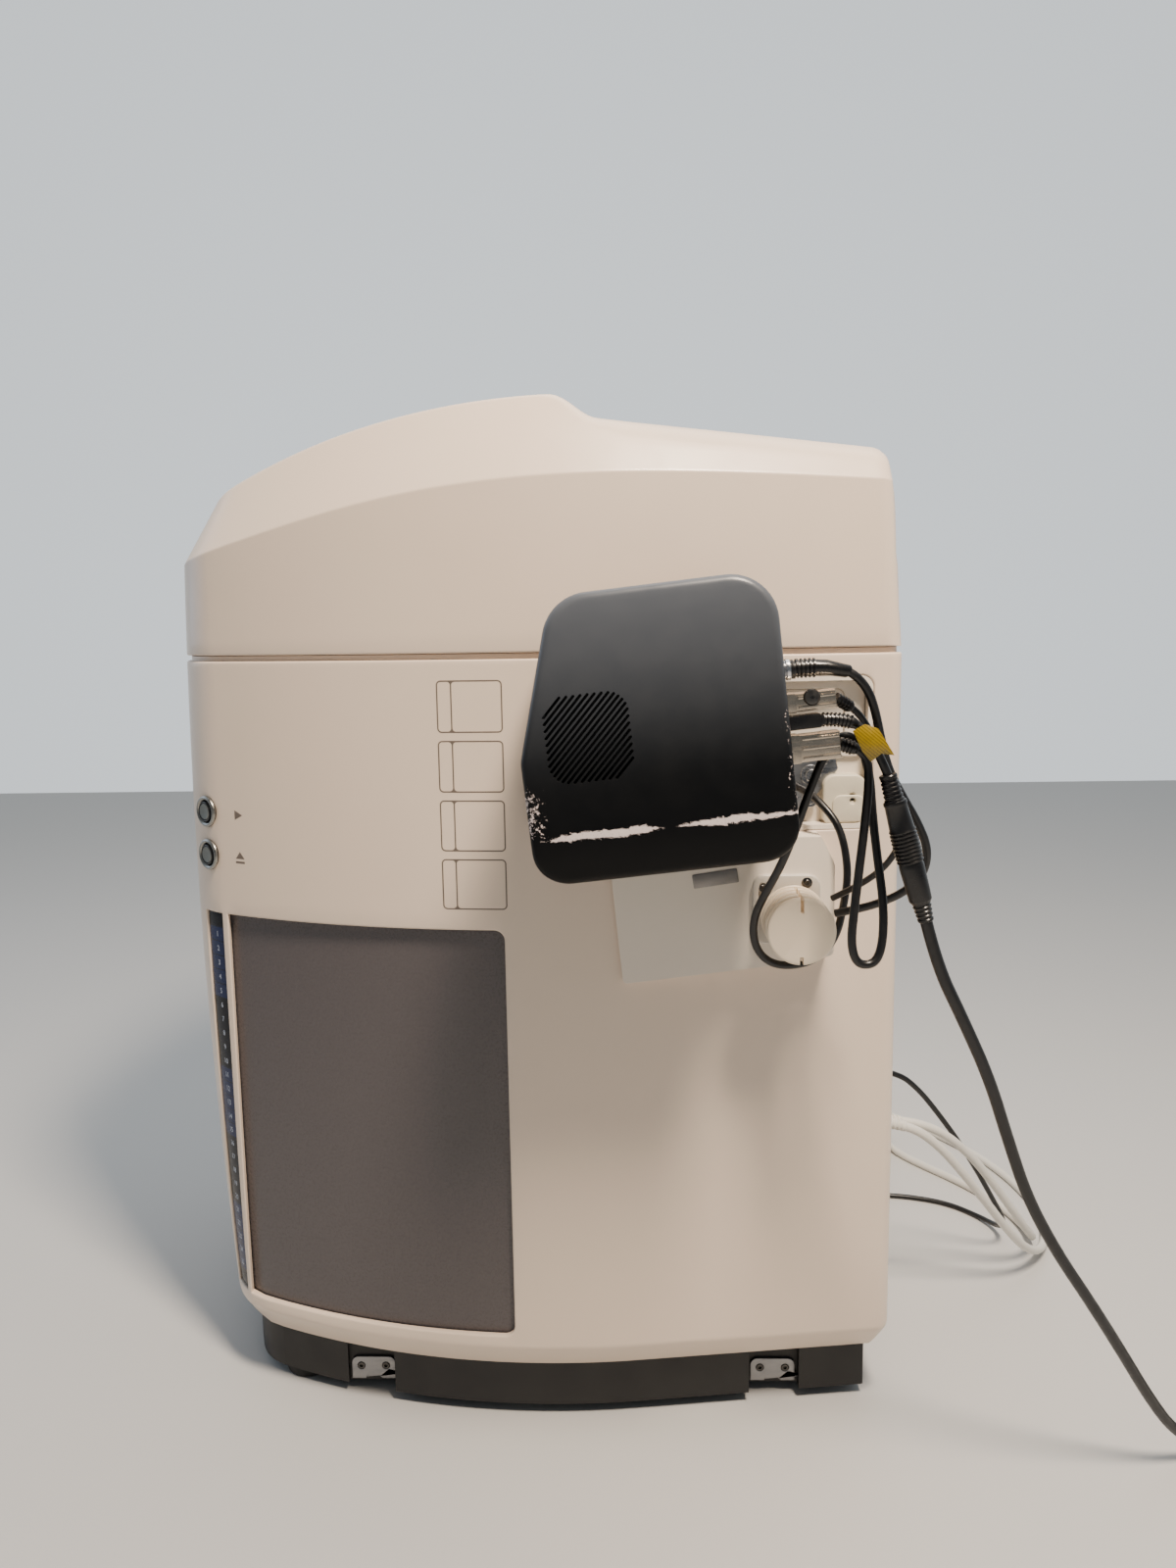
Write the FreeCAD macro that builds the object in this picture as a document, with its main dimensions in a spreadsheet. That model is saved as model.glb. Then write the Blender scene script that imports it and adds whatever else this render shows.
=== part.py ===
"""Bench-top digital slide scanner: casing, lift-up hood, tray magazine, lift, microscope and camera module.

Frame: millimetres, +Z up, the front faces -Y, the camera module sits on the +X side.
The origin is the middle of the casing's footprint, on the surface that the scanner stands on.
"""
import FreeCAD, Part
import Sketcher
import math
import os
import re

Vector = FreeCAD.Vector
Rotation = FreeCAD.Rotation

# ----------------------------------------------------------------------------------------------
# Driving dimensions
# ----------------------------------------------------------------------------------------------
SIZES = {
    # casing plan: front arc, corner arc and side arc, tangent to each other, then a straight taper
    "front_reach": 258.6,
    "rear_reach": 258.7,
    "half_width": 220,
    "widest_at": 20,
    "front_radius": 385,
    "corner_radius": 60,
    "side_radius": 520,
    "side_taper": 7,
    "rear_corner": 10,
    "bulge_radius": 4800,
    "bulge_level": 400,
    "wall": 4,
    # casing levels
    "casing_bottom": 41,
    "chamfer_top": 60,
    "chamfer_inset": 12,
    "casing_top": 531,
    "hood_gap": 4,
    "cover_gap": 0.3,
    "front_half": 130,
    "rear_half": 150,
    # lower front: door, number strip, side panels
    "opening_bottom": 69,
    "opening_top": 355,
    "door_half": 116,
    "door_gap": 1.5,
    "door_thick": 4,
    "door_pin": 2,
    "door_pin_reach": 8,
    "door_lug": 6,
    "door_hinge_inset": 7,
    "door_hinge_depth": 3.6,
    "panel_front": 201,
    "panel_rear": 2,
    "panel_round": 7,
    "panel_inset": 3,
    "panel_thick": 2.5,
    "panel_gap": 0.5,
    "strip_near_angle": 29,
    "strip_far_angle": 47.8,
    "strip_inset": 1.5,
    "strip_thick": 2.5,
    # push buttons
    "button_angle": 38.4,
    "start_level": 427,
    "open_level": 396.5,
    "bezel_radius": 11,
    "bezel_face": 2,
    "bezel_barrel": 9.5,
    "bezel_depth": 22,
    "button_radius": 7.6,
    "button_length": 14,
    "running_gap": 0.3,
    # hood
    "crease_front": 598,
    "crease_rear": 643,
    "crease_meet": 70,
    "bevel_inset": 34,
    "bevel_rise": 56,
    "bevel_below": 180,
    "bevel_above": 90,
    "roof_front_at": 180,
    "roof_front_level": 650.5,
    "roof_mid_at": 72,
    "roof_mid_level": 685.5,
    "roof_ridge_at": 29,
    "roof_ridge_level": 698,
    "roof_step_at": 65,
    "roof_step_level": 682,
    "roof_rear_level": 661,
    "hood_lean": 8.7,
    "roof_crown": 8,
    "roof_crown_half": 186,
    "hinge_offset": 5.5,
    "hinge_rise": 2,
    "hinge_place": 110,
    "hinge_length": 44,
    "hinge_knuckle": 4.5,
    "hinge_pin": 2,
    "hinge_leaf": 2.5,
    "hinge_leaf_lift": 3.5,
    # base
    "foot_radius": 18,
    "foot_height": 8,
    "foot_place_x": 150,
    "foot_place_y": 165,
    "plinth_inset": 15,
    "plinth_wall": 16,
    "base_thick": 6,
    "bracket_wide": 32,
    "bracket_tall": 17,
    "bracket_thick": 2,
    "bracket_bottom": 10,
    "bracket_round": 3,
    "bracket_set_back": 26,
    "bracket_front_at": 110,
    "bracket_rear_at": 179,
    "screw_head": 3.4,
    "screw_head_tall": 1.6,
    # camera module
    "module_at": 97,
    "module_level": 495,
    "module_tilt": 6,
    "module_left": 77,
    "module_right": 67,
    "module_half_tall": 75.2,
    "module_shoulder": 51,
    "module_elbow": 9,
    "module_near": 223.5,
    "module_face": 335,
    "module_wall": 2.5,
    "module_round": 26,
    "module_foot_round": 20,
    "module_edge_round": 7,
    "jack_level": 22.5,
    "jack_x": 306,
    "plug_x": 305,
    "jack_radius": 6,
    "jack_long": 11,
    "plug_level": -6.5,
    "plug_tall": 7.6,
    "upper_plug_level": 4,
    "upper_plug_tall": 11,
    "lower_plug_level": -21.5,
    "lower_plug_tall": 16,
    "hood_plug_x": 298,
    "neck_radius": 25,
    "neck_level": 492,
    "neck_inner_radius": 13,
    "neck_step_at": 170,
    "neck_wall": 4,
    "skin_from": 180,
    "plate_face": 221.5,
    # lamp house
    "lamp_at": 183,
    "lamp_level": 368.5,
    "lamp_radius": 22.4,
    "lamp_end": 266,
    "lamp_neck_radius": 17.4,
    "lamp_neck_long": 4,
    "lamp_screw_head": 2.4,
    "lamp_flange": 44.5,
    "lamp_flange_thick": 4.5,
    "lamp_flange_round": 9,
    "lamp_groove": 1.2,
    "lamp_groove_pitch": 8,
    # connector bay
    "bay_front": 165,
    "bay_rear": 239,
    "bay_bottom": 416.5,
    "bay_top": 517,
    "bay_round": 8,
    "bay_floor": 186,
    "bay_wall": 3,
    "bay_bracket_thick": 5,
    "hood_plug_wide": 14,
    "hood_plug_long": 31,
    # tray magazine, lift and microscope
    "tray_count": 25,
    "tray_pitch": 10.47,
    "tray_first_level": 336.5,
    "tray_wide": 150,
    "tray_deep": 96,
    "tray_thick": 4.5,
    "tray_front": 216,
    "tray_side_gap": 0.3,
    "tray_float": 0.1,
    "slide_wide": 26,
    "slide_long": 76,
    "shelf_reach": 4,
    "shelf_thick": 2,
    "magazine_wall": 4,
    "lift_gap": 3,
    "lift_plate_thick": 5,
    "lift_rod_radius": 5,
    "lift_rod_place": 62,
    "lift_rod_at": 4,
    "lift_rod_top": 470,
    "lift_screw_radius": 5,
    "column_front": 200,
    "column_deep": 38,
    "column_wide": 100,
    "arm_level": 552,
    "arm_tall": 30,
    "arm_wide": 80,
    "axis_at": 97,
    "turret_axis_at": 125,
    "turret_radius": 42,
    "turret_level": 466,
    "turret_thick": 12,
    "objective_radius": 12,
    "objective_long": 32,
    "head_level": 482,
    "head_tall": 36,
    "head_wide": 60,
    "filter_radius": 50,
    "filter_level": 524,
    "filter_thick": 22,
    "shaft_radius": 6,
    "bearing_gap": 0.05,
    "stage_level": 418,
    "stage_thick": 8,
    "stage_wide": 200,
    "stage_deep": 130,
    "rail_tall": 10,
    "rail_wide": 14,
    "condenser_radius": 20,
    "condenser_long": 36,
    # rear fan and sockets
    "fan_size": 80,
    "fan_deep": 25,
    "fan_at": 100,
    "fan_level": 440,
    "fan_rotor": 36,
    "fan_hub": 16,
    "motor_size": 42,
    "lift_motor_tall": 14,
    "feed_motor_tall": 34,
    "screw_end_gap": 0.2,
    # leads
    "signal_lead": 4,
    "detector_lead": 5,
    "power_lead": 5,
    "floor_lead": 7,
    "white_lead": 7,
    "black_lead": 4.5,
    "coupler_radius": 7.8,
    "coil_diameters": 11,
    "gland_radius": 7,
    "gland_long": 6,
}

doc = FreeCAD.newDocument("slide_scanner")
sheet = doc.addObject("Spreadsheet::Sheet", "Sizes")
for row, (alias, number) in enumerate(SIZES.items(), start=1):
    sheet.set(f"A{row}", alias)
    sheet.set(f"B{row}", str(number))
    sheet.setAlias(f"B{row}", alias)
doc.recompute()


class Lengths:
    """The sheet's numbers, read back for the pieces that are shaped in code."""

    def __getattr__(self, alias):
        return float(getattr(sheet, alias))


S = Lengths()
SUBPARTS = []


# ----------------------------------------------------------------------------------------------
# Helpers: primitives and booleans whose sizes are bound to the sheet
# ----------------------------------------------------------------------------------------------
def in_sheet(formula):
    """Write each alias of a formula as a reference to the sheet."""
    return re.sub(r"[a-z]\w*", lambda word: "Sizes." + word[0] if word[0] in SIZES else word[0], formula)


def bind(item, path, formula):
    item.setExpression(path, in_sheet(formula))


def place(item, corner):
    for letter, formula in zip("xyz", corner):
        bind(item, f"Placement.Base.{letter}", formula)


def box(label, extent, corner):
    item = doc.addObject("Part::Box", label)
    for path, formula in zip(("Length", "Width", "Height"), extent):
        bind(item, path, formula)
    place(item, corner)
    return item


TURNS = {"x": Rotation(Vector(0, 1, 0), 90), "y": Rotation(Vector(1, 0, 0), -90), "z": Rotation()}


def rod(label, radius, length, foot, along="z"):
    item = doc.addObject("Part::Cylinder", label)
    item.Placement = FreeCAD.Placement(Vector(), TURNS[along])
    bind(item, "Radius", radius)
    bind(item, "Height", length)
    place(item, foot)
    return item


def rod_at(label, radius, length, foot, direction):
    """A cylinder from a worked-out foot along any direction, its sizes bound to the sheet."""
    item = doc.addObject("Part::Cylinder", label)
    item.Placement = FreeCAD.Placement(foot, Rotation(Vector(0, 0, 1), direction))
    bind(item, "Radius", radius)
    bind(item, "Height", length)
    return item


def fuse(label, *pieces):
    item = doc.addObject("Part::MultiFuse", label)
    item.Shapes = list(pieces)
    return item


def cut(label, base, *tools):
    item = doc.addObject("Part::Cut", label)
    item.Base = base
    item.Tool = tools[0] if len(tools) == 1 else fuse(label + "_tools", *tools)
    return item


def group(label, *pieces):
    """Separate identical solids kept in one node."""
    item = doc.addObject("Part::Compound", label)
    item.Links = list(pieces)
    return item


def feature(label, shape):
    item = doc.addObject("Part::Feature", label)
    item.Shape = shape
    return item


def subpart(item, node=None):
    item.Label = node or item.Name
    SUBPARTS.append(item)
    return item


def rounded_pad(label, wide, tall, deep, corner, foot=None):
    """A plate in the Y-Z plane with rounded corners, padded along +X; foot is the middle of its back."""
    body = doc.addObject("PartDesign::Body", label)
    sketch = body.newObject("Sketcher::SketchObject", label + "_outline")
    plane = [face for face in body.Origin.OriginFeatures if face.Role == "YZ_Plane"][0]
    sketch.AttachmentSupport = (plane, [""])
    sketch.MapMode = "FlatFace"
    ends = [Vector(-9, -5, 0), Vector(9, -5, 0), Vector(9, 5, 0), Vector(-9, 5, 0)]
    for here, there in zip(ends, ends[1:] + ends[:1]):
        sketch.addGeometry(Part.LineSegment(here, there), False)
    for side in range(4):
        sketch.addConstraint(Sketcher.Constraint("Coincident", side, 2, (side + 1) % 4, 1))
    for side in (0, 2):
        sketch.addConstraint(Sketcher.Constraint("Horizontal", side))
    for side in (1, 3):
        sketch.addConstraint(Sketcher.Constraint("Vertical", side))
    sketch.addConstraint(Sketcher.Constraint("Symmetric", 0, 1, 2, 1, -1, 1))
    for name, side, kind, formula in (("wide", 0, "DistanceX", wide), ("tall", 1, "DistanceY", tall)):
        index = sketch.addConstraint(Sketcher.Constraint(kind, side, 1, side, 2, 10.0))
        sketch.renameConstraint(index, name)
        bind(sketch, "Constraints." + name, formula)
    pad = body.newObject("PartDesign::Pad", label + "_pad")
    pad.Profile = sketch
    bind(pad, "Length", deep)
    doc.recompute()
    upright = [f"Edge{number}" for number, edge in enumerate(pad.Shape.Edges, start=1)
               if abs(edge.tangentAt(edge.FirstParameter).x) > 0.99]
    fillet = body.newObject("PartDesign::Fillet", label + "_fillet")
    fillet.Base = (pad, upright)
    bind(fillet, "Radius", corner)
    body.Tip = fillet
    if foot:
        place(body, foot)
    return body


# ----------------------------------------------------------------------------------------------
# Helpers: outlines and the barrel-shaped casing
# ----------------------------------------------------------------------------------------------
def unit(vector):
    return vector / vector.Length


def mirrored(shape):
    return shape.mirror(Vector(0, 0, 0), Vector(1, 0, 0))


def block(low, high):
    size = [b - a for a, b in zip(low, high)]
    return Part.makeBox(*size, Vector(*low))


def rounded_wire(corners, radii, to_space):
    """A closed outline with rounded corners, drawn in 2-D and set in space by to_space(a, b)."""
    count = len(corners)
    edges = []
    joints = []
    for i in range(count):
        here = Vector(*corners[i], 0)
        before = unit(Vector(*corners[i - 1], 0) - here)
        after = unit(Vector(*corners[(i + 1) % count], 0) - here)
        half = before.getAngle(after) / 2
        reach = radii[i] / math.tan(half)
        middle = here + unit(before + after) * (radii[i] / math.sin(half) - radii[i])
        joints.append((here + before * reach, middle, here + after * reach))
    for i in range(count):
        start, middle, end = (to_space(p.x, p.y) for p in joints[i])
        if radii[i] > 0:
            edges.append(Part.Arc(start, middle, end).toShape())
        follower = to_space(joints[(i + 1) % count][0].x, joints[(i + 1) % count][0].y)
        if (follower - end).Length > 1e-6:
            edges.append(Part.LineSegment(end, follower).toShape())
    return Part.Wire(edges)


def side_prism(corners, radii, near, far):
    """A prism along X whose outline is given as (Y, Z) corners."""
    wire = rounded_wire(corners, radii, lambda a, b: Vector(near, a, b))
    return Part.Face(wire).extrude(Vector(far - near, 0, 0))


def window(front, rear, bottom, top, round_front, round_rear, near, far):
    corners = [(front, bottom), (rear, bottom), (rear, top), (front, top)]
    return side_prism(corners, [round_front, round_rear, round_rear, round_front], near, far)


def corner_centre(shift=0.0):
    """Centre of the front corner arc, tangent to the front arc and to the side arc."""
    front = Vector(0, S.front_radius - S.front_reach + shift, 0)
    side = Vector(S.half_width - S.side_radius, S.widest_at, 0)
    to_front = S.front_radius - S.corner_radius
    to_side = S.side_radius - S.corner_radius
    apart = (side - front).Length
    along = (to_front ** 2 - to_side ** 2 + apart ** 2) / (2 * apart)
    across = math.sqrt(to_front ** 2 - along ** 2)
    axis = unit(side - front)
    return front + axis * along + Vector(axis.y, -axis.x, 0) * -across


def outline(offset, level, shift=0.0, rear_extra=0.0):
    """The casing's plan at a level, set in by an offset; shift moves the front arc back."""
    front = Vector(0, S.front_radius - S.front_reach + shift, 0)
    side = Vector(S.half_width - S.side_radius, S.widest_at, 0)
    corner = corner_centre(shift)
    to_corner = unit(corner - front)
    to_side = unit(corner - side)
    taper = math.radians(S.side_taper)
    outward = Vector(math.cos(taper), math.sin(taper), 0)
    rear_radius = max(S.rear_corner - offset, 1.0)
    p1 = corner + to_corner * (S.corner_radius - offset)
    p2 = corner + to_side * (S.corner_radius - offset)
    p3 = side + outward * (S.side_radius - offset)
    rear_line = S.rear_reach + rear_extra - offset - rear_radius
    back = Vector(-outward.y, outward.x, 0)
    inner = p3 - outward * rear_radius
    rear = inner + back * ((rear_line - inner.y) / back.y)
    p4 = rear + outward * rear_radius
    p5 = rear + Vector(0, rear_radius, 0)
    arcs = [
        (p1, corner + unit(to_corner + to_side) * (S.corner_radius - offset), p2),
        (p2, side + unit(to_side + outward) * (S.side_radius - offset), p3),
        (p3, None, p4),
        (p4, rear + unit(outward + Vector(0, 1, 0)) * rear_radius, p5),
    ]

    def lifted(point, sign=1):
        return Vector(sign * point.x, point.y, level)

    def edge(start, middle, end, sign):
        if middle is None:
            return Part.LineSegment(lifted(start, sign), lifted(end, sign)).toShape()
        return Part.Arc(lifted(start, sign), lifted(middle, sign), lifted(end, sign)).toShape()

    foremost = Vector(0, front.y - S.front_radius + offset, 0)
    edges = [Part.Arc(lifted(p1, -1), lifted(foremost), lifted(p1)).toShape()]
    edges += [edge(start, middle, end, 1) for start, middle, end in arcs]
    edges.append(Part.LineSegment(lifted(p5), lifted(p5, -1)).toShape())
    edges += [edge(end, middle, start, -1) for start, middle, end in reversed(arcs)]
    return Part.Wire(edges)


def bulge(level):
    """How far the front stands back from its foremost line at a level."""
    return (level - S.bulge_level) ** 2 / (2 * S.bulge_radius)


def barrel(offset, bottom, top, sections=4):
    """The casing as a solid between two levels, with its gently bulging front."""
    wires = []
    for step in range(sections):
        level = bottom + (top - bottom) * step / (sections - 1)
        wires.append(outline(offset, level, bulge(level)))
    return Part.makeLoft(wires, True, False)


def casing(offset):
    """The filled casing up to the seam, with the chamfer round its bottom edge."""
    foot = outline(offset + S.chamfer_inset, S.casing_bottom, bulge(S.chamfer_top))
    ankle = outline(offset, S.chamfer_top, bulge(S.chamfer_top))
    chamfer = Part.makeLoft([foot, ankle], True, True)
    return chamfer.fuse(barrel(offset, S.chamfer_top, S.casing_top))


def corner_direction(degrees):
    """Outward direction on the right front corner, in degrees forward of +X."""
    angle = math.radians(degrees)
    return Vector(math.cos(angle), -math.sin(angle), 0)


def corner_wedge(near_angle, far_angle, bottom, top):
    """A vertical wedge about the front corner's centre, used to cut its skin."""
    reach = S.corner_radius * 1.6
    centre = corner_centre() + Vector(0, 0, bottom)
    near = centre + corner_direction(near_angle) * reach
    far = centre + corner_direction(far_angle) * reach
    face = Part.Face(Part.makePolygon([centre, near, far, centre]))
    return face.extrude(Vector(0, 0, top - bottom))


# ----------------------------------------------------------------------------------------------
# Casing
# ----------------------------------------------------------------------------------------------
FAR = 400.0
shell_skin = casing(0).cut(casing(S.wall)).cut(block((-FAR, -FAR, 0), (FAR, FAR, S.casing_bottom)))


def panel_window(gap, near, far):
    return window(-S.panel_front + gap, -S.panel_rear - gap, S.opening_bottom + gap, S.opening_top - gap,
                  0, S.panel_round, near, far)


def bay_window(gap, near, far):
    return window(S.bay_front + gap, S.bay_rear - gap, S.bay_bottom + gap, S.bay_top - gap,
                  S.bay_round, S.bay_round, near, far)


def button_seat(level):
    """Point on the corner's skin where a push button sits."""
    seat = corner_centre(bulge(level)) + corner_direction(S.button_angle) * S.corner_radius
    return Vector(seat.x, seat.y, level)


def side_cover():
    """The plain cover of one side, with the opening for its panel."""
    front = block((S.front_half + S.cover_gap / 2, -FAR, 0), (FAR, 0, FAR * 2))
    rear = block((S.rear_half + S.cover_gap / 2, 0, 0), (FAR, FAR, FAR * 2))
    cover = shell_skin.common(front.fuse(rear).removeSplitter())
    return cover.cut(panel_window(0, S.corner_radius, FAR))


def right_cover():
    cover = side_cover()
    cover = cover.cut(corner_wedge(S.strip_near_angle, S.strip_far_angle, S.opening_bottom, S.opening_top))
    cover = cover.cut(bay_window(0, S.corner_radius, FAR))
    cover = cover.cut(Part.makeCylinder(S.neck_radius + 1, FAR, Vector(0, S.module_at, S.neck_level),
                                        Vector(1, 0, 0)))
    cover = cover.cut(Part.makeCylinder(S.lamp_radius - 6, FAR, Vector(0, S.lamp_at, S.lamp_level),
                                        Vector(1, 0, 0)))
    for level in (S.start_level, S.open_level):
        seat = button_seat(level)
        inward = corner_direction(S.button_angle) * -1
        cover = cover.cut(Part.makeCylinder(S.bezel_barrel + S.cover_gap, 40, seat - inward * 20, inward))
    return cover


subpart(feature("side_cover_right", right_cover()))
subpart(feature("side_cover_left", mirrored(side_cover())))


def side_panel():
    sheet_metal = barrel(S.panel_inset, S.casing_bottom, S.casing_top)
    sheet_metal = sheet_metal.cut(barrel(S.panel_inset + S.panel_thick, S.casing_bottom, S.casing_top))
    return sheet_metal.common(panel_window(S.panel_gap, S.corner_radius, FAR))


subpart(feature("side_panel_right", side_panel()))
subpart(feature("side_panel_left", mirrored(side_panel())))


def number_strip():
    """The long lens beside the door that shows the tray numbers."""
    lens = barrel(S.strip_inset, S.casing_bottom, S.casing_top)
    lens = lens.cut(barrel(S.strip_inset + S.strip_thick, S.casing_bottom, S.casing_top))
    margin = math.degrees(S.panel_gap / S.corner_radius)
    return lens.common(corner_wedge(S.strip_near_angle + margin, S.strip_far_angle - margin,
                                    S.opening_bottom + S.panel_gap, S.opening_top - S.panel_gap))


subpart(feature("number_strip", number_strip()))


# The door swings on two short pins at its left edge. Their axis leans with the chord of the bulging front.
door_edge = S.door_half - S.door_gap
door_bottom = S.opening_bottom + S.door_gap
door_top = S.opening_top - S.door_gap
hinge_x = S.door_hinge_inset - S.door_half


def door_axis_point(level):
    """Point on the door's hinge axis, just under the skin at the axis' two ends."""
    surface = S.front_radius - S.front_reach - math.sqrt(S.front_radius ** 2 - hinge_x ** 2)
    low = surface + bulge(S.opening_bottom)
    high = surface + bulge(S.opening_top)
    share = (level - S.opening_bottom) / (S.opening_top - S.opening_bottom)
    return Vector(hinge_x, low + (high - low) * share + S.door_hinge_depth, level)


def along_door_axis(radius, low, high):
    foot = door_axis_point(low)
    run = door_axis_point(high) - foot
    return Part.makeCylinder(radius, run.Length, foot, run)


def front_frame():
    """Header, sill and posts of the front in one piece, with the door's two hinge pins."""
    half = S.front_half - S.cover_gap / 2
    frame = shell_skin.common(block((-half, -FAR, 0), (half, 0, FAR * 2)))
    frame = frame.cut(block((-S.door_half, -FAR, S.opening_bottom), (S.door_half, 0, S.opening_top)))
    low = S.opening_bottom
    high = S.opening_top
    for lug_level, pin_low, pin_high in ((low - S.door_lug, low - S.door_lug / 2, low + S.door_pin_reach),
                                         (high, high - S.door_pin_reach, high + S.door_lug / 2)):
        axis = door_axis_point(lug_level)
        lug = block((axis.x - 6, axis.y - 6, lug_level), (axis.x + 6, axis.y + 8, lug_level + S.door_lug))
        lug = lug.common(casing(S.wall / 2))
        frame = frame.fuse([lug, along_door_axis(S.door_pin, pin_low, pin_high)])
    return frame.removeSplitter()


def front_door():
    """Curved door leaf, flush with the front, with a hinge barrel down its left edge."""
    leaf = barrel(0, S.casing_bottom, S.casing_top).cut(barrel(S.door_thick, S.casing_bottom, S.casing_top))
    leaf = leaf.common(block((hinge_x, -FAR, door_bottom), (door_edge, 0, door_top)))
    hinge_barrel = along_door_axis(S.door_pin + 1.4, door_bottom, door_top)
    door = leaf.fuse(hinge_barrel)
    bore_reach = S.door_pin_reach + 1
    for low, high in ((S.opening_bottom, S.opening_bottom + bore_reach),
                      (S.opening_top - bore_reach, S.opening_top)):
        door = door.cut(along_door_axis(S.door_pin + S.bearing_gap, low, high))
    return door


subpart(feature("front_frame", front_frame()))
subpart(feature("front_door", front_door()))


def bezel(label, level):
    outward = corner_direction(S.button_angle)
    seat = button_seat(level)
    flange = rod_at(label + "_flange", "bezel_radius", "bezel_face", seat + outward * 0.1, outward)
    barrel_foot = seat - outward * (S.bezel_depth - 1)
    tube = rod_at(label + "_tube", "bezel_barrel", "bezel_depth", barrel_foot, outward)
    bore_foot = seat - outward * S.bezel_depth
    bore = rod_at(label + "_bore", "button_radius + running_gap", "bezel_depth * 2", bore_foot, outward)
    back = rod_at(label + "_back", "bezel_barrel", "2", barrel_foot, outward)
    return fuse(label, cut(label + "_sleeve", fuse(label + "_body", flange, tube), bore), back)


subpart(group("button_bezels", bezel("start_bezel", S.start_level), bezel("open_bezel", S.open_level)))
for name, level in (("start_button", S.start_level), ("open_button", S.open_level)):
    outward = corner_direction(S.button_angle)
    foot = button_seat(level) + outward * (S.bezel_face + 0.4 - S.button_length)
    subpart(rod_at(name, "button_radius", "button_length", foot, outward))


# ----------------------------------------------------------------------------------------------
# Hood
# ----------------------------------------------------------------------------------------------
hood_bottom = S.casing_top + S.hood_gap


def roof_wire(at_x, inset):
    """The hood's side profile: rising front arc, ridge, step down, sloping rear deck, leaning rear."""
    drop = inset - S.roof_crown * (1 - (at_x / S.roof_crown_half) ** 2)
    rear_foot = S.rear_reach - inset
    rear_head = rear_foot - S.hood_lean

    def point(y, z):
        return Vector(at_x, y, z - drop)

    front = point(-S.roof_front_at, S.roof_front_level)
    middle = point(-S.roof_mid_at, S.roof_mid_level)
    ridge = point(S.roof_ridge_at, S.roof_ridge_level)
    nose = Part.Arc(front, middle, ridge)
    heading = unit(Vector(*nose.value(nose.FirstParameter)) - Vector(*nose.value(nose.FirstParameter + 0.01)))
    lead_in = front + heading * 130
    step_top = point(S.roof_ridge_at + 12, S.roof_ridge_level - 3)
    step_foot = point(S.roof_step_at, S.roof_step_level)
    deck_end = point(rear_head - 4, S.roof_rear_level)
    shoulder = point(rear_head, S.roof_rear_level - 9)
    heel = Vector(at_x, rear_foot, hood_bottom - 2)
    under_rear = Vector(at_x, rear_foot, hood_bottom - 40)
    under_front = Vector(at_x, lead_in.y, hood_bottom - 40)
    edges = [nose.toShape()]
    chain = [ridge, step_top, step_foot, deck_end, shoulder, heel, under_rear, under_front, lead_in, front]
    for here, there in zip(chain, chain[1:]):
        edges.append(Part.LineSegment(here, there).toShape())
    return Part.Wire(edges)


def bevel(level, inset, tilt):
    """Tapering solid whose side leans in above the crease; tilt drops its front."""
    slope = S.bevel_inset / S.bevel_rise
    wires = []
    for rise in (-S.bevel_below, S.bevel_above):
        wires.append(outline(rise * slope + inset, level + rise, bulge(level), S.rear_corner * 8))
    solid = Part.makeLoft(wires, True, True)
    solid.rotate(Vector(0, -S.front_reach, level), Vector(1, 0, 0), tilt)
    return solid


def hood_solid(inset):
    top_level = S.roof_ridge_level + S.roof_crown + 2
    solid = barrel(inset, hood_bottom - (20 if inset else 0), top_level)
    half = S.half_width + 15
    roof = Part.makeLoft([roof_wire(x, inset) for x in (-half, 0, half)], True, False)
    rise = S.crease_rear - S.crease_front
    tilt = math.degrees(math.atan2(rise, S.crease_meet + S.front_reach))
    below = block((-FAR, -FAR, 0), (FAR, FAR, hood_bottom + 10))
    tapered_front = bevel(S.crease_front, inset, tilt).fuse(below)
    tapered_rear = bevel(S.crease_rear, inset, 0).fuse(below)
    return solid.common(roof).common(tapered_front).common(tapered_rear)


hinge_axis_y = S.rear_reach + S.hinge_offset
hinge_level = S.casing_top + S.hinge_rise


def knuckle(start, length, radius):
    return Part.makeCylinder(radius, length, Vector(start, hinge_axis_y, hinge_level), Vector(1, 0, 0))


def hood_hinge_half(side):
    """The hinge leaf and two outer knuckles on the hood's rear wall."""
    start = side * S.hinge_place - S.hinge_length / 2
    third = S.hinge_length / 3
    leaf_face = hinge_axis_y - S.hinge_knuckle + S.hinge_leaf
    leaf = block((start, S.rear_reach - S.hood_lean, hood_bottom + S.hinge_leaf_lift),
                 (start + S.hinge_length, leaf_face, hood_bottom + 30))
    half = leaf
    for at in (start, start + 2 * third + S.cover_gap):
        arm = block((at, S.rear_reach - 1, hinge_level),
                    (at + third - S.cover_gap, leaf_face, hood_bottom + 6))
        half = half.fuse([knuckle(at, third - S.cover_gap, S.hinge_knuckle), arm])
    return half.cut(knuckle(start - 1, S.hinge_length + 2, S.hinge_pin + S.bearing_gap))


def hood():
    shell = hood_solid(0).cut(hood_solid(S.wall))
    return shell.fuse([hood_hinge_half(-1), hood_hinge_half(1)])


def hinge_bracket(side):
    """The hinge leaf, middle knuckle and pin that stay on the rear of the casing."""
    start = side * S.hinge_place - S.hinge_length / 2
    third = S.hinge_length / 3
    leaf = block((start, S.rear_reach, S.casing_top - 34),
                 (start + S.hinge_length, S.rear_reach + S.hinge_leaf, S.casing_top - 5))
    arm = block((start + third, S.rear_reach, S.casing_top - 12),
                (start + 2 * third, hinge_axis_y, hinge_level))
    middle = knuckle(start + third, third, S.hinge_knuckle)
    pin = knuckle(start, S.hinge_length, S.hinge_pin)
    return leaf.fuse([arm, middle, pin]).removeSplitter()


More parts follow.
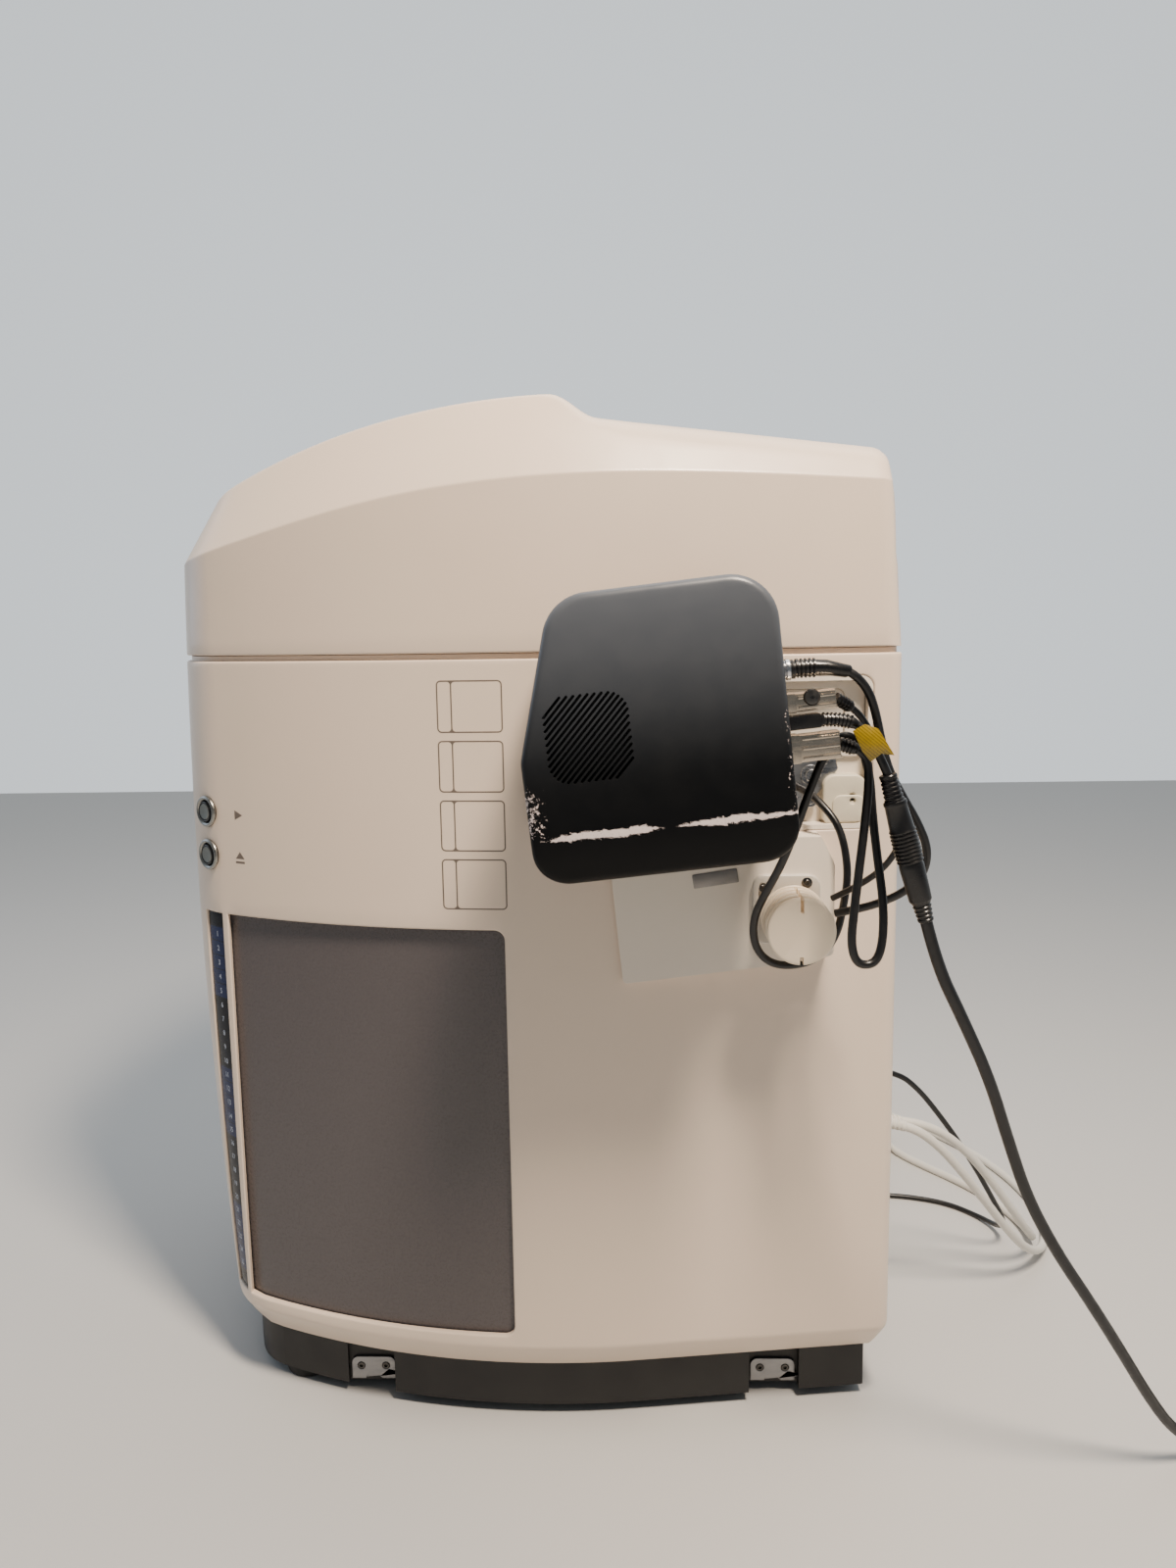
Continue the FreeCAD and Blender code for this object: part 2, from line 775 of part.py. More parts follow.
subpart(feature("hood", hood()))
subpart(feature("hood_hinges", Part.makeCompound([hinge_bracket(-1), hinge_bracket(1)])))


# ----------------------------------------------------------------------------------------------
# Base, feet and rear wall
# ----------------------------------------------------------------------------------------------
def prism_of_plan(offset, bottom, top):
    wire = outline(offset, bottom, bulge(S.chamfer_top))
    return Part.Face(wire).extrude(Vector(0, 0, top - bottom))


# X of the flats in the plinth's flanks that the foot brackets are screwed to
bracket_face = S.half_width - S.plinth_inset - S.bracket_set_back


def plinth():
    """Black plinth ring, set back under the casing, flattened where the foot brackets sit."""
    ring = prism_of_plan(S.plinth_inset, S.foot_height, S.casing_bottom)
    ring = ring.cut(prism_of_plan(S.plinth_inset + S.plinth_wall, S.foot_height, S.casing_bottom))
    corners = block((S.foot_place_x - 30, -S.foot_place_y - 30, S.foot_height),
                    (S.foot_place_x + 30, -S.foot_place_y + 30, S.casing_bottom))
    pads = [corners, mirrored(corners)]
    pads += [pad.mirror(Vector(), Vector(0, 1, 0)) for pad in pads]
    inside = prism_of_plan(S.plinth_inset, S.foot_height, S.casing_bottom)
    ring = ring.fuse([pad.common(inside) for pad in pads]).removeSplitter()
    for at_y in (-S.bracket_front_at, S.bracket_rear_at):
        flat = block((bracket_face, at_y - S.bracket_wide / 2 - 2, 0),
                     (FAR, at_y + S.bracket_wide / 2 + 2, FAR))
        ring = ring.cut([flat, mirrored(flat)])
    return ring


subpart(feature("base_plinth", plinth()))
subpart(feature("base_plate", prism_of_plan(S.chamfer_inset + S.wall + S.panel_gap, S.casing_bottom,
                                            S.casing_bottom + S.base_thick)))
feet = []
for side_x in (-1, 1):
    for side_y in (-1, 1):
        feet.append(rod(f"foot_{len(feet) + 1}", "foot_radius", "foot_height",
                        (f"{side_x} * foot_place_x", f"{side_y} * foot_place_y", "0")))
subpart(group("rubber_feet", *feet))

brackets = []
screws = []
for at_y in (-S.bracket_front_at, S.bracket_rear_at):
    for side in (-1, 1):
        middle = S.bracket_bottom + S.bracket_tall / 2
        plate = rounded_pad(f"foot_bracket_{len(brackets) + 1}",
                            "bracket_wide", "bracket_tall", "bracket_thick", "bracket_round")
        shift = bracket_face if side > 0 else -bracket_face - S.bracket_thick
        plate.Placement = FreeCAD.Placement(Vector(shift, at_y, middle), Rotation())
        brackets.append(plate)
        for step in (-1, 1):
            foot = Vector(side * (bracket_face + S.bracket_thick), at_y + step * S.bracket_wide / 3.6,
                          middle + 2)
            screws.append(rod_at(f"bracket_screw_{len(screws) + 1}", "screw_head", "screw_head_tall", foot,
                                 Vector(side, 0, 0)))
subpart(group("foot_brackets", *brackets))


def rear_wall():
    """Flat rear panel between the two side covers, with the fan window."""
    half = S.rear_half - S.cover_gap / 2
    wall = shell_skin.common(block((-half, 0, 0), (half, FAR, FAR * 2)))
    window_size = S.fan_size - 8
    vent = Part.makeCylinder(window_size / 2, S.wall * 3,
                             Vector(-S.fan_at, S.rear_reach - S.wall * 2, S.fan_level), Vector(0, 1, 0))
    return wall.cut(vent)


subpart(feature("rear_panel", rear_wall()))

fan_front = "rear_reach - wall - fan_deep"
fan_body = box("fan_body", ("fan_size", "fan_deep", "fan_size"),
               ("-fan_at - fan_size / 2", fan_front, "fan_level - fan_size / 2"))
fan_pin_boss = rod("fan_pin_boss", "fan_hub - 2", "3", ("-fan_at", fan_front, "fan_level"), "y")
fan_pin = rod("fan_pin", "3", "14", ("-fan_at", fan_front, "fan_level"), "y")
fan_arm_x = box("fan_arm_x", ("fan_size - 2", "3", "6"),
                ("-fan_at - fan_size / 2 + 1", fan_front, "fan_level - 3"))
fan_arm_z = box("fan_arm_z", ("6", "3", "fan_size - 2"),
                ("-fan_at - 3", fan_front, "fan_level - fan_size / 2 + 1"))
fan_guard = fuse("fan_guard", fan_pin_boss, fan_pin, fan_arm_x, fan_arm_z)
fan_through = rod("fan_through", "fan_rotor + 1.5", "fan_deep + 8",
                  ("-fan_at", fan_front + " - 4", "fan_level"), "y")
subpart(fuse("fan_housing", cut("fan_frame", fan_body, fan_through), fan_guard))


def fan_rotor():
    """Hub with seven raked blades round the fan's pin."""
    start = S.rear_reach - S.wall - S.fan_deep + 3.4
    hub = Part.makeCylinder(S.fan_hub, S.fan_deep - 6, Vector(0, 0, 0))
    blades = []
    for number in range(7):
        blade = Part.makeBox(S.fan_rotor - S.fan_hub + 1.5, 2, S.fan_deep - 10,
                             Vector(S.fan_hub - 1.5, -1, 2))
        blade.rotate(Vector(S.fan_rotor, 0, S.fan_deep / 2), Vector(1, 0, 0), 32)
        blade.rotate(Vector(), Vector(0, 0, 1), number * 360 / 7)
        blades.append(blade)
    keep = Part.makeCylinder(S.fan_rotor, S.fan_deep - 6, Vector())
    rotor = hub.fuse(blades).common(keep)
    rotor = rotor.cut(Part.makeCylinder(3 + S.bearing_gap, 13, Vector()))
    rotor.rotate(Vector(), Vector(1, 0, 0), -90)
    rotor.translate(Vector(-S.fan_at, start, S.fan_level))
    return rotor


subpart(feature("fan_rotor", fan_rotor()))

# ----------------------------------------------------------------------------------------------
# Camera module, lamp house and connector bay on the right flank
# ----------------------------------------------------------------------------------------------
solid_casing = casing(0)
module_centre = Vector(0, S.module_at, S.module_level)


def module_prism(inset, near, far):
    """The module's five-cornered outline, set in, as a prism along X, tilted like the module."""
    tall = S.module_half_tall - inset
    left = -S.module_left + inset
    right = S.module_right - inset
    corners = [(left, -tall), (right, -tall), (right, tall), (-S.module_shoulder + inset, tall),
               (left, -S.module_elbow)]
    radii = [S.module_foot_round, S.module_foot_round, S.module_round, S.module_round, S.module_foot_round]
    radii = [max(radius - inset, 2) for radius in radii]
    prism = side_prism(corners, radii, near, far)
    prism.rotate(Vector(), Vector(1, 0, 0), S.module_tilt)
    prism.translate(module_centre)
    return prism


def module_cover():
    """Black cover, open towards the casing, with rounded outer edges."""
    outside = module_prism(0, S.module_near, S.module_face)
    rim = [edge for edge in outside.Edges if edge.BoundBox.XMin > S.module_face - 0.1]
    outside = outside.makeFillet(S.module_edge_round, rim)
    return outside.cut(module_prism(S.module_wall, S.module_near - 1, S.module_face - S.module_wall))


def neck_rod(radius, near, far):
    return Part.makeCylinder(radius, far - near, Vector(near, S.module_at, S.neck_level), Vector(1, 0, 0))


def module_block():
    """The camera's body inside the cover, carried by a stepped neck through the casing's side."""
    inner = module_prism(S.module_wall + S.cover_gap, S.module_near, S.module_face - 14)
    neck = neck_rod(S.neck_radius, S.neck_step_at, S.module_near + 1)
    slim_neck = neck_rod(S.neck_inner_radius, S.head_wide / 2, S.neck_step_at)
    bore = neck_rod(S.neck_inner_radius - S.neck_wall, S.head_wide / 2 - 1, S.module_near + 30)
    return inner.fuse([neck, slim_neck]).removeSplitter().cut(bore)


subpart(feature("module_cover", module_cover()))
subpart(feature("module_block", module_block()))


def on_module(local_y, local_z, at_x):
    """A point given in the module's own tilted outline."""
    tilt = math.radians(S.module_tilt)
    return Vector(at_x, S.module_at + local_y * math.cos(tilt) - local_z * math.sin(tilt),
                  S.module_level + local_y * math.sin(tilt) + local_z * math.cos(tilt))


def tilted_block(local_low, local_high, near, far):
    """A block in the module's tilted frame, from near to far along X."""
    piece = block((near, local_low[0], local_low[1]), (far, local_high[0], local_high[1]))
    piece.rotate(Vector(), Vector(1, 0, 0), S.module_tilt)
    piece.translate(module_centre)
    return piece


def module_jacks():
    """Round screw connector and small rectangular socket on the module's rear-facing flank."""
    along = on_module(1, 0, 0) - on_module(0, 0, 0)
    ring_foot = on_module(S.module_right, S.jack_level, S.jack_x)
    ring = Part.makeCylinder(S.jack_radius, S.jack_long, ring_foot, along)
    collar = Part.makeCylinder(S.jack_radius + 1.8, 3, ring_foot, along)
    socket = tilted_block((S.module_right, S.plug_level - S.plug_tall / 2),
                          (S.module_right + 2, S.plug_level + S.plug_tall / 2), S.plug_x, S.plug_x + 12)
    return Part.makeCompound([ring.fuse(collar).removeSplitter(), socket])


def hood_plugs():
    """Two flat metal connector hoods plugged into the module's flank, one above the other."""
    pieces = []
    for level, tall in ((S.upper_plug_level, S.upper_plug_tall), (S.lower_plug_level, S.lower_plug_tall)):
        end = S.module_right + S.hood_plug_long
        body = tilted_block((S.module_right + 2, level - tall / 2), (end, level + tall / 2),
                            S.hood_plug_x, S.hood_plug_x + S.hood_plug_wide)
        rim = tall / 2 + 0.6
        flange = tilted_block((S.module_right, level - rim), (S.module_right + 3, level + rim),
                              S.hood_plug_x - 1, S.hood_plug_x + S.hood_plug_wide + 1)
        pieces.append(body.fuse(flange).removeSplitter())
    return Part.makeCompound(pieces)


subpart(feature("module_jacks", module_jacks()))
subpart(feature("plug_hoods", hood_plugs()))


def module_plate():
    """Flat white mounting plate between the casing's side and the camera module."""
    corners = [(67, 402), (75, 319.4), (188, 333), (211, 338), (211, 398), (190, 440), (150, 470), (72, 470)]
    radii = [3, 3, 3, 4, 12, 20, 8, 3]
    plate = side_prism(corners, radii, S.skin_from, S.plate_face).cut(solid_casing)
    neck = Part.makeCylinder(S.neck_radius + 1, FAR, Vector(0, S.module_at, S.neck_level), Vector(1, 0, 0))
    lamp = Part.makeCylinder(S.lamp_radius - 6, FAR, Vector(0, S.lamp_at, S.lamp_level), Vector(1, 0, 0))
    return plate.cut(neck).cut(lamp).cut(bay_window(-1, S.corner_radius, FAR))


subpart(feature("module_plate", module_plate()))

flange = rounded_pad("lamp_flange_plate", "lamp_flange", "lamp_flange", "lamp_flange_thick",
                     "lamp_flange_round", ("plate_face", "lamp_at", "lamp_level"))
flange_bore = rod("lamp_flange_bore", "lamp_radius - 6", "lamp_flange_thick + 2",
                  ("plate_face - 1", "lamp_at", "lamp_level"), "x")
subpart(cut("lamp_flange", flange, flange_bore))


def lamp_house():
    """Finned round lamp housing with two notches at its rim."""
    start = S.plate_face + S.lamp_flange_thick
    axis = Vector(1, 0, 0)

    def disc(radius, begin, length):
        return Part.makeCylinder(radius, length, Vector(begin, S.lamp_at, S.lamp_level), axis)

    body = disc(S.lamp_neck_radius, start, S.lamp_end - start)
    first_fin = start + S.lamp_neck_long
    body = body.fuse(disc(S.lamp_radius, first_fin, S.lamp_end - first_fin)).removeSplitter()
    fin = first_fin + 3
    while fin < S.lamp_end - 2 * S.lamp_groove_pitch / 1.5:
        ring = disc(S.lamp_radius + 1, fin, S.lamp_groove_pitch / 3)
        body = body.cut(ring.cut(disc(S.lamp_radius - S.lamp_groove, fin - 1, S.lamp_groove_pitch)))
        fin += S.lamp_groove_pitch
    for side, deep in ((1, 9), (-1, 5)):
        low = S.lamp_level + side * S.lamp_radius - (deep if side > 0 else 0)
        body = body.cut(block((S.lamp_end - 30, S.lamp_at - 1, low),
                              (S.lamp_end + 1, S.lamp_at + 1, low + deep)))
    return body


subpart(feature("lamp_housing", lamp_house()))


def bay_tray():
    """Recessed tray of the connector bay, its rim following the side of the casing."""
    tray = bay_window(S.cover_gap, S.bay_floor - S.bay_wall, FAR).common(casing(S.cover_gap))
    return tray.cut(bay_window(S.cover_gap + S.bay_wall, S.bay_floor, FAR))


subpart(feature("bay_insert", bay_tray()))


def bay_bracket():
    """Metal bracket on the floor of the bay."""
    corners = [(172, 476), (214, 472), (218, 455), (204, 438), (192, 428), (172, 430)]
    return side_prism(corners, [2, 3, 3, 3, 2, 2], S.bay_floor, S.bay_floor + S.bay_bracket_thick)


subpart(feature("bay_bracket", bay_bracket()))
for number, (at_y, at_z, scale) in enumerate(((200, 451.5, 1.5), (199.5, 435.5, 1.0)), start=1):
    foot = Vector(S.bay_floor + S.bay_bracket_thick, at_y, at_z)
    screws.append(rod_at(f"bay_screw_{number}", f"screw_head * {scale}", "screw_head_tall * 2", foot,
                         Vector(1, 0, 0)))
for number, (step_y, step_z) in enumerate(((-19.8, 14), (9.3, 19.6)), start=1):
    foot = Vector(S.plate_face + S.lamp_flange_thick, S.lamp_at + step_y, S.lamp_level + step_z)
    screws.append(rod_at(f"lamp_screw_{number}", "lamp_screw_head", "screw_head_tall", foot, Vector(1, 0, 0)))
subpart(group("mounting_screws", *screws))

# ----------------------------------------------------------------------------------------------
# Tray magazine and lift
# ----------------------------------------------------------------------------------------------
magazine_inner = "tray_wide / 2 + tray_side_gap"
last_level = "tray_first_level - (tray_count - 1) * tray_pitch"
magazine_bottom = f"{last_level} - shelf_thick - 5"
magazine_tall = "(tray_count - 1) * tray_pitch + tray_thick + shelf_thick + 15"
walls = []
for side in (-1, 1):
    left = f"{magazine_inner}" if side > 0 else f"-({magazine_inner}) - magazine_wall"
    walls.append(box(f"magazine_wall_{side + 2}", ("magazine_wall", "tray_deep + 4", magazine_tall),
                     (left, "-tray_front - 2", magazine_bottom)))
    for number in range(int(S.tray_count)):
        shelf_left = f"{magazine_inner} - shelf_reach" if side > 0 else f"-({magazine_inner})"
        walls.append(box(f"shelf_{side + 2}_{number + 1}", ("shelf_reach + 1", "tray_deep", "shelf_thick"),
                         (shelf_left if side > 0 else f"-({magazine_inner}) - 1", "-tray_front",
                          f"tray_first_level - {number} * tray_pitch - shelf_thick")))
for name, level in (("foot", f"{magazine_bottom} - magazine_wall"),
                    ("head", f"{magazine_bottom} + {magazine_tall}")):
    walls.append(box("magazine_" + name,
                     (f"2 * ({magazine_inner} + magazine_wall)", "tray_deep + 4", "magazine_wall"),
                     (f"-({magazine_inner}) - magazine_wall", "-tray_front - 2", level)))
for side in (-1, 1):
    walls.append(box(f"magazine_leg_{side + 2}", ("20", "tray_deep - 20",
                     f"{magazine_bottom} - magazine_wall - casing_bottom - base_thick"),
                     (f"{side} * 60 - 10", "-tray_front + 10", "casing_bottom + base_thick")))
subpart(fuse("magazine_frame", *walls))


def tray_at(label, number):
    """One tray with four slide pockets, resting on its pair of shelves."""
    lift = S.tray_float if number == S.tray_count else 0
    level = f"tray_first_level - {number - 1} * tray_pitch + {lift}"
    plate = box(label + "_plate", ("tray_wide", "tray_deep", "tray_thick"),
                ("-tray_wide / 2", "-tray_front", level))
    pockets = []
    for slot in range(4):
        pockets.append(box(f"{label}_pocket_{slot + 1}",
                           ("slide_wide + 0.6", "slide_long + 0.6", "tray_thick"),
                           (f"({slot} - 1.5) * (slide_wide + 8) - slide_wide / 2 - 0.3",
                            "-tray_front + tray_deep / 2 - slide_long / 2 - 0.3",
                            level + " + tray_thick - 2")))
    return cut(label, plate, *pockets)


stored = [tray_at(f"tray_{number}", number) for number in range(2, int(S.tray_count))]
subpart(group("stored_trays", *stored))
subpart(tray_at("active_tray", int(S.tray_count)))

lift_top = f"{last_level} - 1"
lift_platform = box("lift_platform", ("tray_wide", "tray_deep + 2", "lift_plate_thick"),
                    ("-tray_wide / 2", "-tray_front + tray_deep + lift_gap",
                     f"{lift_top} - lift_plate_thick"))
platform_end = "(-tray_front + 2 * tray_deep + lift_gap + 2)"
lift_block = box("lift_block", ("2 * lift_rod_place + 30", f"9 - lift_rod_at - {platform_end} + 1", "16"),
                 ("-lift_rod_place - 15", f"{platform_end} - 1", f"{lift_top} - lift_plate_thick - 11"))
lift_bores = []
for side in (-1, 1):
    lift_bores.append(rod(f"lift_bore_{side + 2}", "lift_rod_radius + bearing_gap", "60",
                          (f"{side} * lift_rod_place", "-lift_rod_at", f"{lift_top} - 40"), "z"))
lift_bores.append(rod("lift_nut_bore", "lift_screw_radius + bearing_gap", "60",
                      ("0", "-lift_rod_at", f"{lift_top} - 40"), "z"))
subpart(cut("lift_carriage", fuse("lift_body", lift_platform, lift_block), *lift_bores))
base_top = "casing_bottom + base_thick"
rods = [rod(f"lift_rod_{side + 2}", "lift_rod_radius", f"lift_rod_top - ({base_top})",
            (f"{side} * lift_rod_place", "-lift_rod_at", base_top)) for side in (-1, 1)]
rod_bridge = box("rod_bridge", ("2 * lift_rod_place + 24", "16", "8"),
                 ("-lift_rod_place - 12", "-lift_rod_at - 8", "lift_rod_top"))
subpart(fuse("lift_rods", *rods, rod_bridge))
subpart(rod("lift_screw", "lift_screw_radius",
            f"lift_rod_top - screw_end_gap - ({base_top}) - lift_motor_tall - screw_end_gap",
            ("0", "-lift_rod_at", f"{base_top} + lift_motor_tall + screw_end_gap")))
lift_motor = box("lift_motor", ("motor_size", "motor_size", "lift_motor_tall"),
                 ("-motor_size / 2", "-lift_rod_at - motor_size / 2", base_top))
feed_motor = box("feed_motor", ("motor_size", "motor_size", "feed_motor_tall"),
                 ("-motor_size / 2", "60", base_top))
subpart(group("drive_motors", lift_motor, feed_motor))

# ----------------------------------------------------------------------------------------------
# Microscope: column, stage, condenser, turret and filter wheel
# ----------------------------------------------------------------------------------------------
column = box("column", ("column_wide", "column_deep", f"arm_level + arm_tall - ({base_top})"),
             ("-column_wide / 2", "column_front", base_top))
arm = box("arm", ("arm_wide", "column_front - axis_at + 30", "arm_tall"),
          ("-arm_wide / 2", "axis_at - 30", "arm_level"))
head = box("head", ("head_wide", "column_front - axis_at + 26", "head_tall"),
           ("-head_wide / 2", "axis_at - 26", "head_level"))
head_bore = rod("head_bore", "shaft_radius + 3", "head_tall + 2", ("0", "turret_axis_at", "head_level - 1"))
objective_port = rod("objective_port", "10", "head_tall / 2 + 1", ("0", "axis_at", "head_level - 1"))
camera_port = rod("camera_port", "neck_inner_radius - neck_wall", "head_wide / 2 + 1",
                  ("0", "axis_at", "neck_level"), "x")
shaft = rod("turret_shaft", "shaft_radius", "arm_level - turret_level + 2",
            ("0", "turret_axis_at", "turret_level - 1"))
shelf = box("stage_bed", ("stage_wide - 30", "column_front - 28", "14"),
            ("-stage_wide / 2 + 15", "28", "stage_level - rail_tall - 14"))
light_well = rod("light_well", "condenser_radius + running_gap", "20",
                 ("0", "axis_at", "stage_level - rail_tall - 17"))
rails = [box(f"stage_rail_{side + 2}", ("rail_wide", "column_front - 30", "rail_tall - 0.2"),
             (f"{side} * (stage_wide / 2 - 30) - rail_wide / 2", "29", "stage_level - rail_tall"))
         for side in (-1, 1)]
tube_head = cut("tube_head", head, head_bore, objective_port, camera_port)
subpart(fuse("optics_column", column, arm, tube_head, shaft, cut("bed_plate", shelf, light_well), *rails))

condenser_body = rod("condenser_body", "condenser_radius", "condenser_long",
                     ("0", "axis_at", "stage_level - rail_tall - 2 - condenser_long"))
condenser_collar = rod("condenser_collar", "condenser_radius + 6", "6",
                       ("0", "axis_at", "stage_level - rail_tall - 20.2"))
subpart(fuse("condenser", condenser_body, condenser_collar))

stage_plate = box("stage_slab", ("stage_wide", "stage_deep", "stage_thick"),
                  ("-stage_wide / 2", "32", "stage_level"))
stage_window = box("stage_window", ("stage_wide - 90", "stage_deep - 40", "stage_thick + 2"),
                   ("-stage_wide / 2 + 45", "52", "stage_level - 1"))
subpart(cut("scan_stage", stage_plate, stage_window))

turret_disc = rod("turret_disc", "turret_radius", "turret_thick", ("0", "turret_axis_at", "turret_level"))
turret_bore = rod("turret_bore", "shaft_radius + bearing_gap", "turret_thick + 2",
                  ("0", "turret_axis_at", "turret_level - 1"))
objectives = []
for number, (step_x, step_y) in enumerate(((0, -1), (1, 0), (0, 1), (-1, 0)), start=1):
    where = (f"{step_x} * (turret_axis_at - axis_at)",
             f"turret_axis_at + {step_y} * (turret_axis_at - axis_at)")
    objectives.append(rod(f"objective_{number}", "objective_radius", "objective_long * 0.7",
                          where + ("turret_level - objective_long * 0.7",)))
    objectives.append(rod(f"objective_tip_{number}", "objective_radius * 0.55", "objective_long",
                          where + ("turret_level - objective_long",)))
subpart(cut("objective_turret", fuse("turret_body", turret_disc, *objectives), turret_bore))

filter_disc = rod("filter_disc", "filter_radius", "filter_thick", ("0", "turret_axis_at", "filter_level"))
filter_bore = rod("filter_bore", "shaft_radius + bearing_gap", "filter_thick + 2",
                  ("0", "turret_axis_at", "filter_level - 1"))
filter_ports = []
for number in range(6):
    turn = math.radians(60 * number - 90)
    filter_ports.append(rod(f"filter_port_{number + 1}", "11", "filter_thick + 2",
                            (f"{math.cos(turn):.5f} * (turret_axis_at - axis_at + 2)",
                             f"turret_axis_at + {math.sin(turn):.5f} * (turret_axis_at - axis_at + 2)",
                             "filter_level - 1")))
subpart(cut("filter_wheel", filter_disc, filter_bore, *filter_ports))

# ----------------------------------------------------------------------------------------------
# Leads: each route is a list of points, joined by straight runs and tangent arcs
# ----------------------------------------------------------------------------------------------
def route_path(points, label):
    """Wire through a route's points: each corner is rounded as widely as its two runs allow."""
    points = [Vector(*point) for point in points]
    edges = []
    radii = []
    start = points[0]
    for before, here, after in zip(points, points[1:], points[2:]):
        back = unit(before - here)
        onward = unit(after - here)
        half_turn = (math.pi - back.getAngle(onward)) / 2
        reach = 0.45 * min((before - here).Length, (after - here).Length)
        radius = reach / math.tan(half_turn)
        radii.append(radius)
        arc_start = here + back * reach
        arc_end = here + onward * reach
        crown = here + unit(back + onward) * (radius / math.cos(half_turn) - radius)
        edges.append(Part.LineSegment(start, arc_start).toShape())
        edges.append(Part.Arc(arc_start, crown, arc_end).toShape())
        start = arc_end
    edges.append(Part.LineSegment(start, points[-1]).toShape())
    print(label, "bend radii", [round(radius) for radius in radii])
    return Part.Wire(edges)


def lead(label, diameter, points):
    """A round tube along a route."""
    path = route_path(points, label)
    start = Vector(*points[0])
    heading = unit(Vector(*points[1]) - start)
    ring = Part.Wire(Part.Circle(start, heading, diameter / 2).toShape())
    tube = path.makePipeShell([ring], True, False)
    expected = math.pi * diameter ** 2 / 4 * path.Length
    if abs(tube.Volume - expected) > 0.02 * expected:
        raise RuntimeError(f"{label}: volume {tube.Volume:.0f}, expected {expected:.0f}")
    print(label, "length", round(path.Length))
    return subpart(feature(label, tube))


def coil(label, diameter, centre, columns, rows):
    """The outer shape of a coil of turns that lie beside and on each other."""
    mean = S.coil_diameters * diameter / 2
    inner = mean - columns * diameter / 2
    section = Part.makePolygon([Vector(inner, 0, 0),
                                Vector(inner + columns * diameter, 0, 0),
                                Vector(inner + columns * diameter, 0, rows * diameter),
                                Vector(inner, 0, rows * diameter), Vector(inner, 0, 0)])
    ring = Part.Face(section).revolve(Vector(), Vector(0, 0, 1), 360)
    ring.translate(Vector(centre[0], centre[1], 0))
    return subpart(feature(label, ring))


def turned(profile, foot, direction):
    """A solid of revolution from (distance, radius) pairs along a direction."""
    ends = [Vector(0, 0, profile[0][0]), Vector(0, 0, profile[-1][0])]
    points = ends[:1] + [Vector(r, 0, d) for d, r in profile] + ends[1:]
    solid = Part.Face(Part.makePolygon(points + points[:1])).revolve(Vector(), Vector(0, 0, 1), 360)
    solid.Placement = FreeCAD.Placement(Vector(*foot), Rotation(Vector(0, 0, 1), Vector(*direction)))
    return solid


# Camera leads: round connector to the lamp house, upper metal hood to the lamp house, and the slack lead
# that hangs in a narrow loop, goes round the lamp house and ends in the connector bay.
lead("detector_lead", S.detector_lead, [
    (306, 172.5, 525.6), (306, 189, 526.6), (306, 202, 524), (305, 212, 514), (303, 217, 500),
    (300, 221, 484), (296, 226, 468), (293, 235, 452), (290, 245, 436), (287, 252, 420),
    (283, 251, 405), (276, 243, 393), (266, 232, 384), (256, 219, 377), (250, 206.2, 373)])
lead("signal_lead", S.signal_lead, [
    (303, 194.4, 508.9), (300, 206, 503), (293, 216, 490), (286, 226, 472), (282, 235, 454),
    (279, 240, 437), (275, 239, 421), (268, 233, 407), (258, 226, 397), (248, 217, 388),
    (240, 206, 380)])
lead("slack_lead", S.detector_lead, [
    (301, 197.1, 483), (301, 207, 481), (301.5, 213.5, 474), (302, 214, 460), (303, 212, 438),
    (304, 209, 412), (305, 206.5, 390), (306, 204.5, 369), (305.5, 208.5, 357), (304.5, 219, 357),
    (303, 223.5, 369), (300, 224, 392),
    (296, 221, 416), (294, 218, 442), (293, 216.4, 465.7), (291.5, 210.4, 484.3),
    (291, 199.9, 488.1), (290.5, 190.9, 475.8), (288, 183.3, 454.8), (283.5, 176.8, 433),
    (275, 169.6, 409.2), (263.5, 161.2, 388.6), (251, 155.5, 370), (246, 157, 351), (243, 167, 339),
    (240, 183, 336.5), (238, 199, 341), (236, 210, 355), (235, 214, 373), (233, 217, 391),
    (230, 216, 408), (226, 212, 424), (218, 203, 436), (207, 195, 443), (191.2, 186, 446)])

# Power lead of the camera: flat connector, short lead, in-line coupler, thick lead to the floor.
connector = tilted_block((S.module_right + 2, S.plug_level - S.plug_tall / 2 - 0.2),
                         (S.module_right + 21, S.plug_level + S.plug_tall / 2 + 0.2), S.plug_x, S.plug_x + 12)
coupler_top = Vector(312, 222, 467)
coupler_axis = unit(Vector(0, 23, -83))
coupler_steps = [(0, 2.8), (15, 2.2), (17, 1.2), (31, 0.8), (32, 0), (52, 0), (54, 0.9), (74, 1.4), (75, 2.3),
                 (86, 3.3)]
coupler_profile = [(along, S.coupler_radius - step) for along, step in coupler_steps]
coupler = turned(coupler_profile, coupler_top, coupler_axis)
subpart(feature("lead_coupler", Part.makeCompound([connector, coupler])))
lead("power_lead", S.power_lead, [
    (311, 185.4, 497.7), (311, 198, 498), (311, 208, 493), (311.5, 215.5, 482), coupler_top])
coupler_end = coupler_top + coupler_axis * 86
lead("floor_lead", S.floor_lead, [
    coupler_end, (311, 252, 358), (308, 268, 326), (303, 286, 288), (297, 300, 248),
    (291, 315, 208), (285, 336, 170), (279, 360, 134), (271, 384, 96), (262, 407, 58),
    (252, 430, 26), (242, 458, 8), (231, 492, 3.5), (222, 528, 3.5), (219.5, 560, 3.5)])
coil("floor_lead_coil", S.floor_lead, (181, 560), 2, 3)
floor_plug = [(0, 4), (12, 7), (14, 13), (40, 13), (40, 9), (48, 9)]
subpart(feature("floor_lead_plug", turned(floor_plug, (204, 618.8, 13), (-1, 0, 0))))

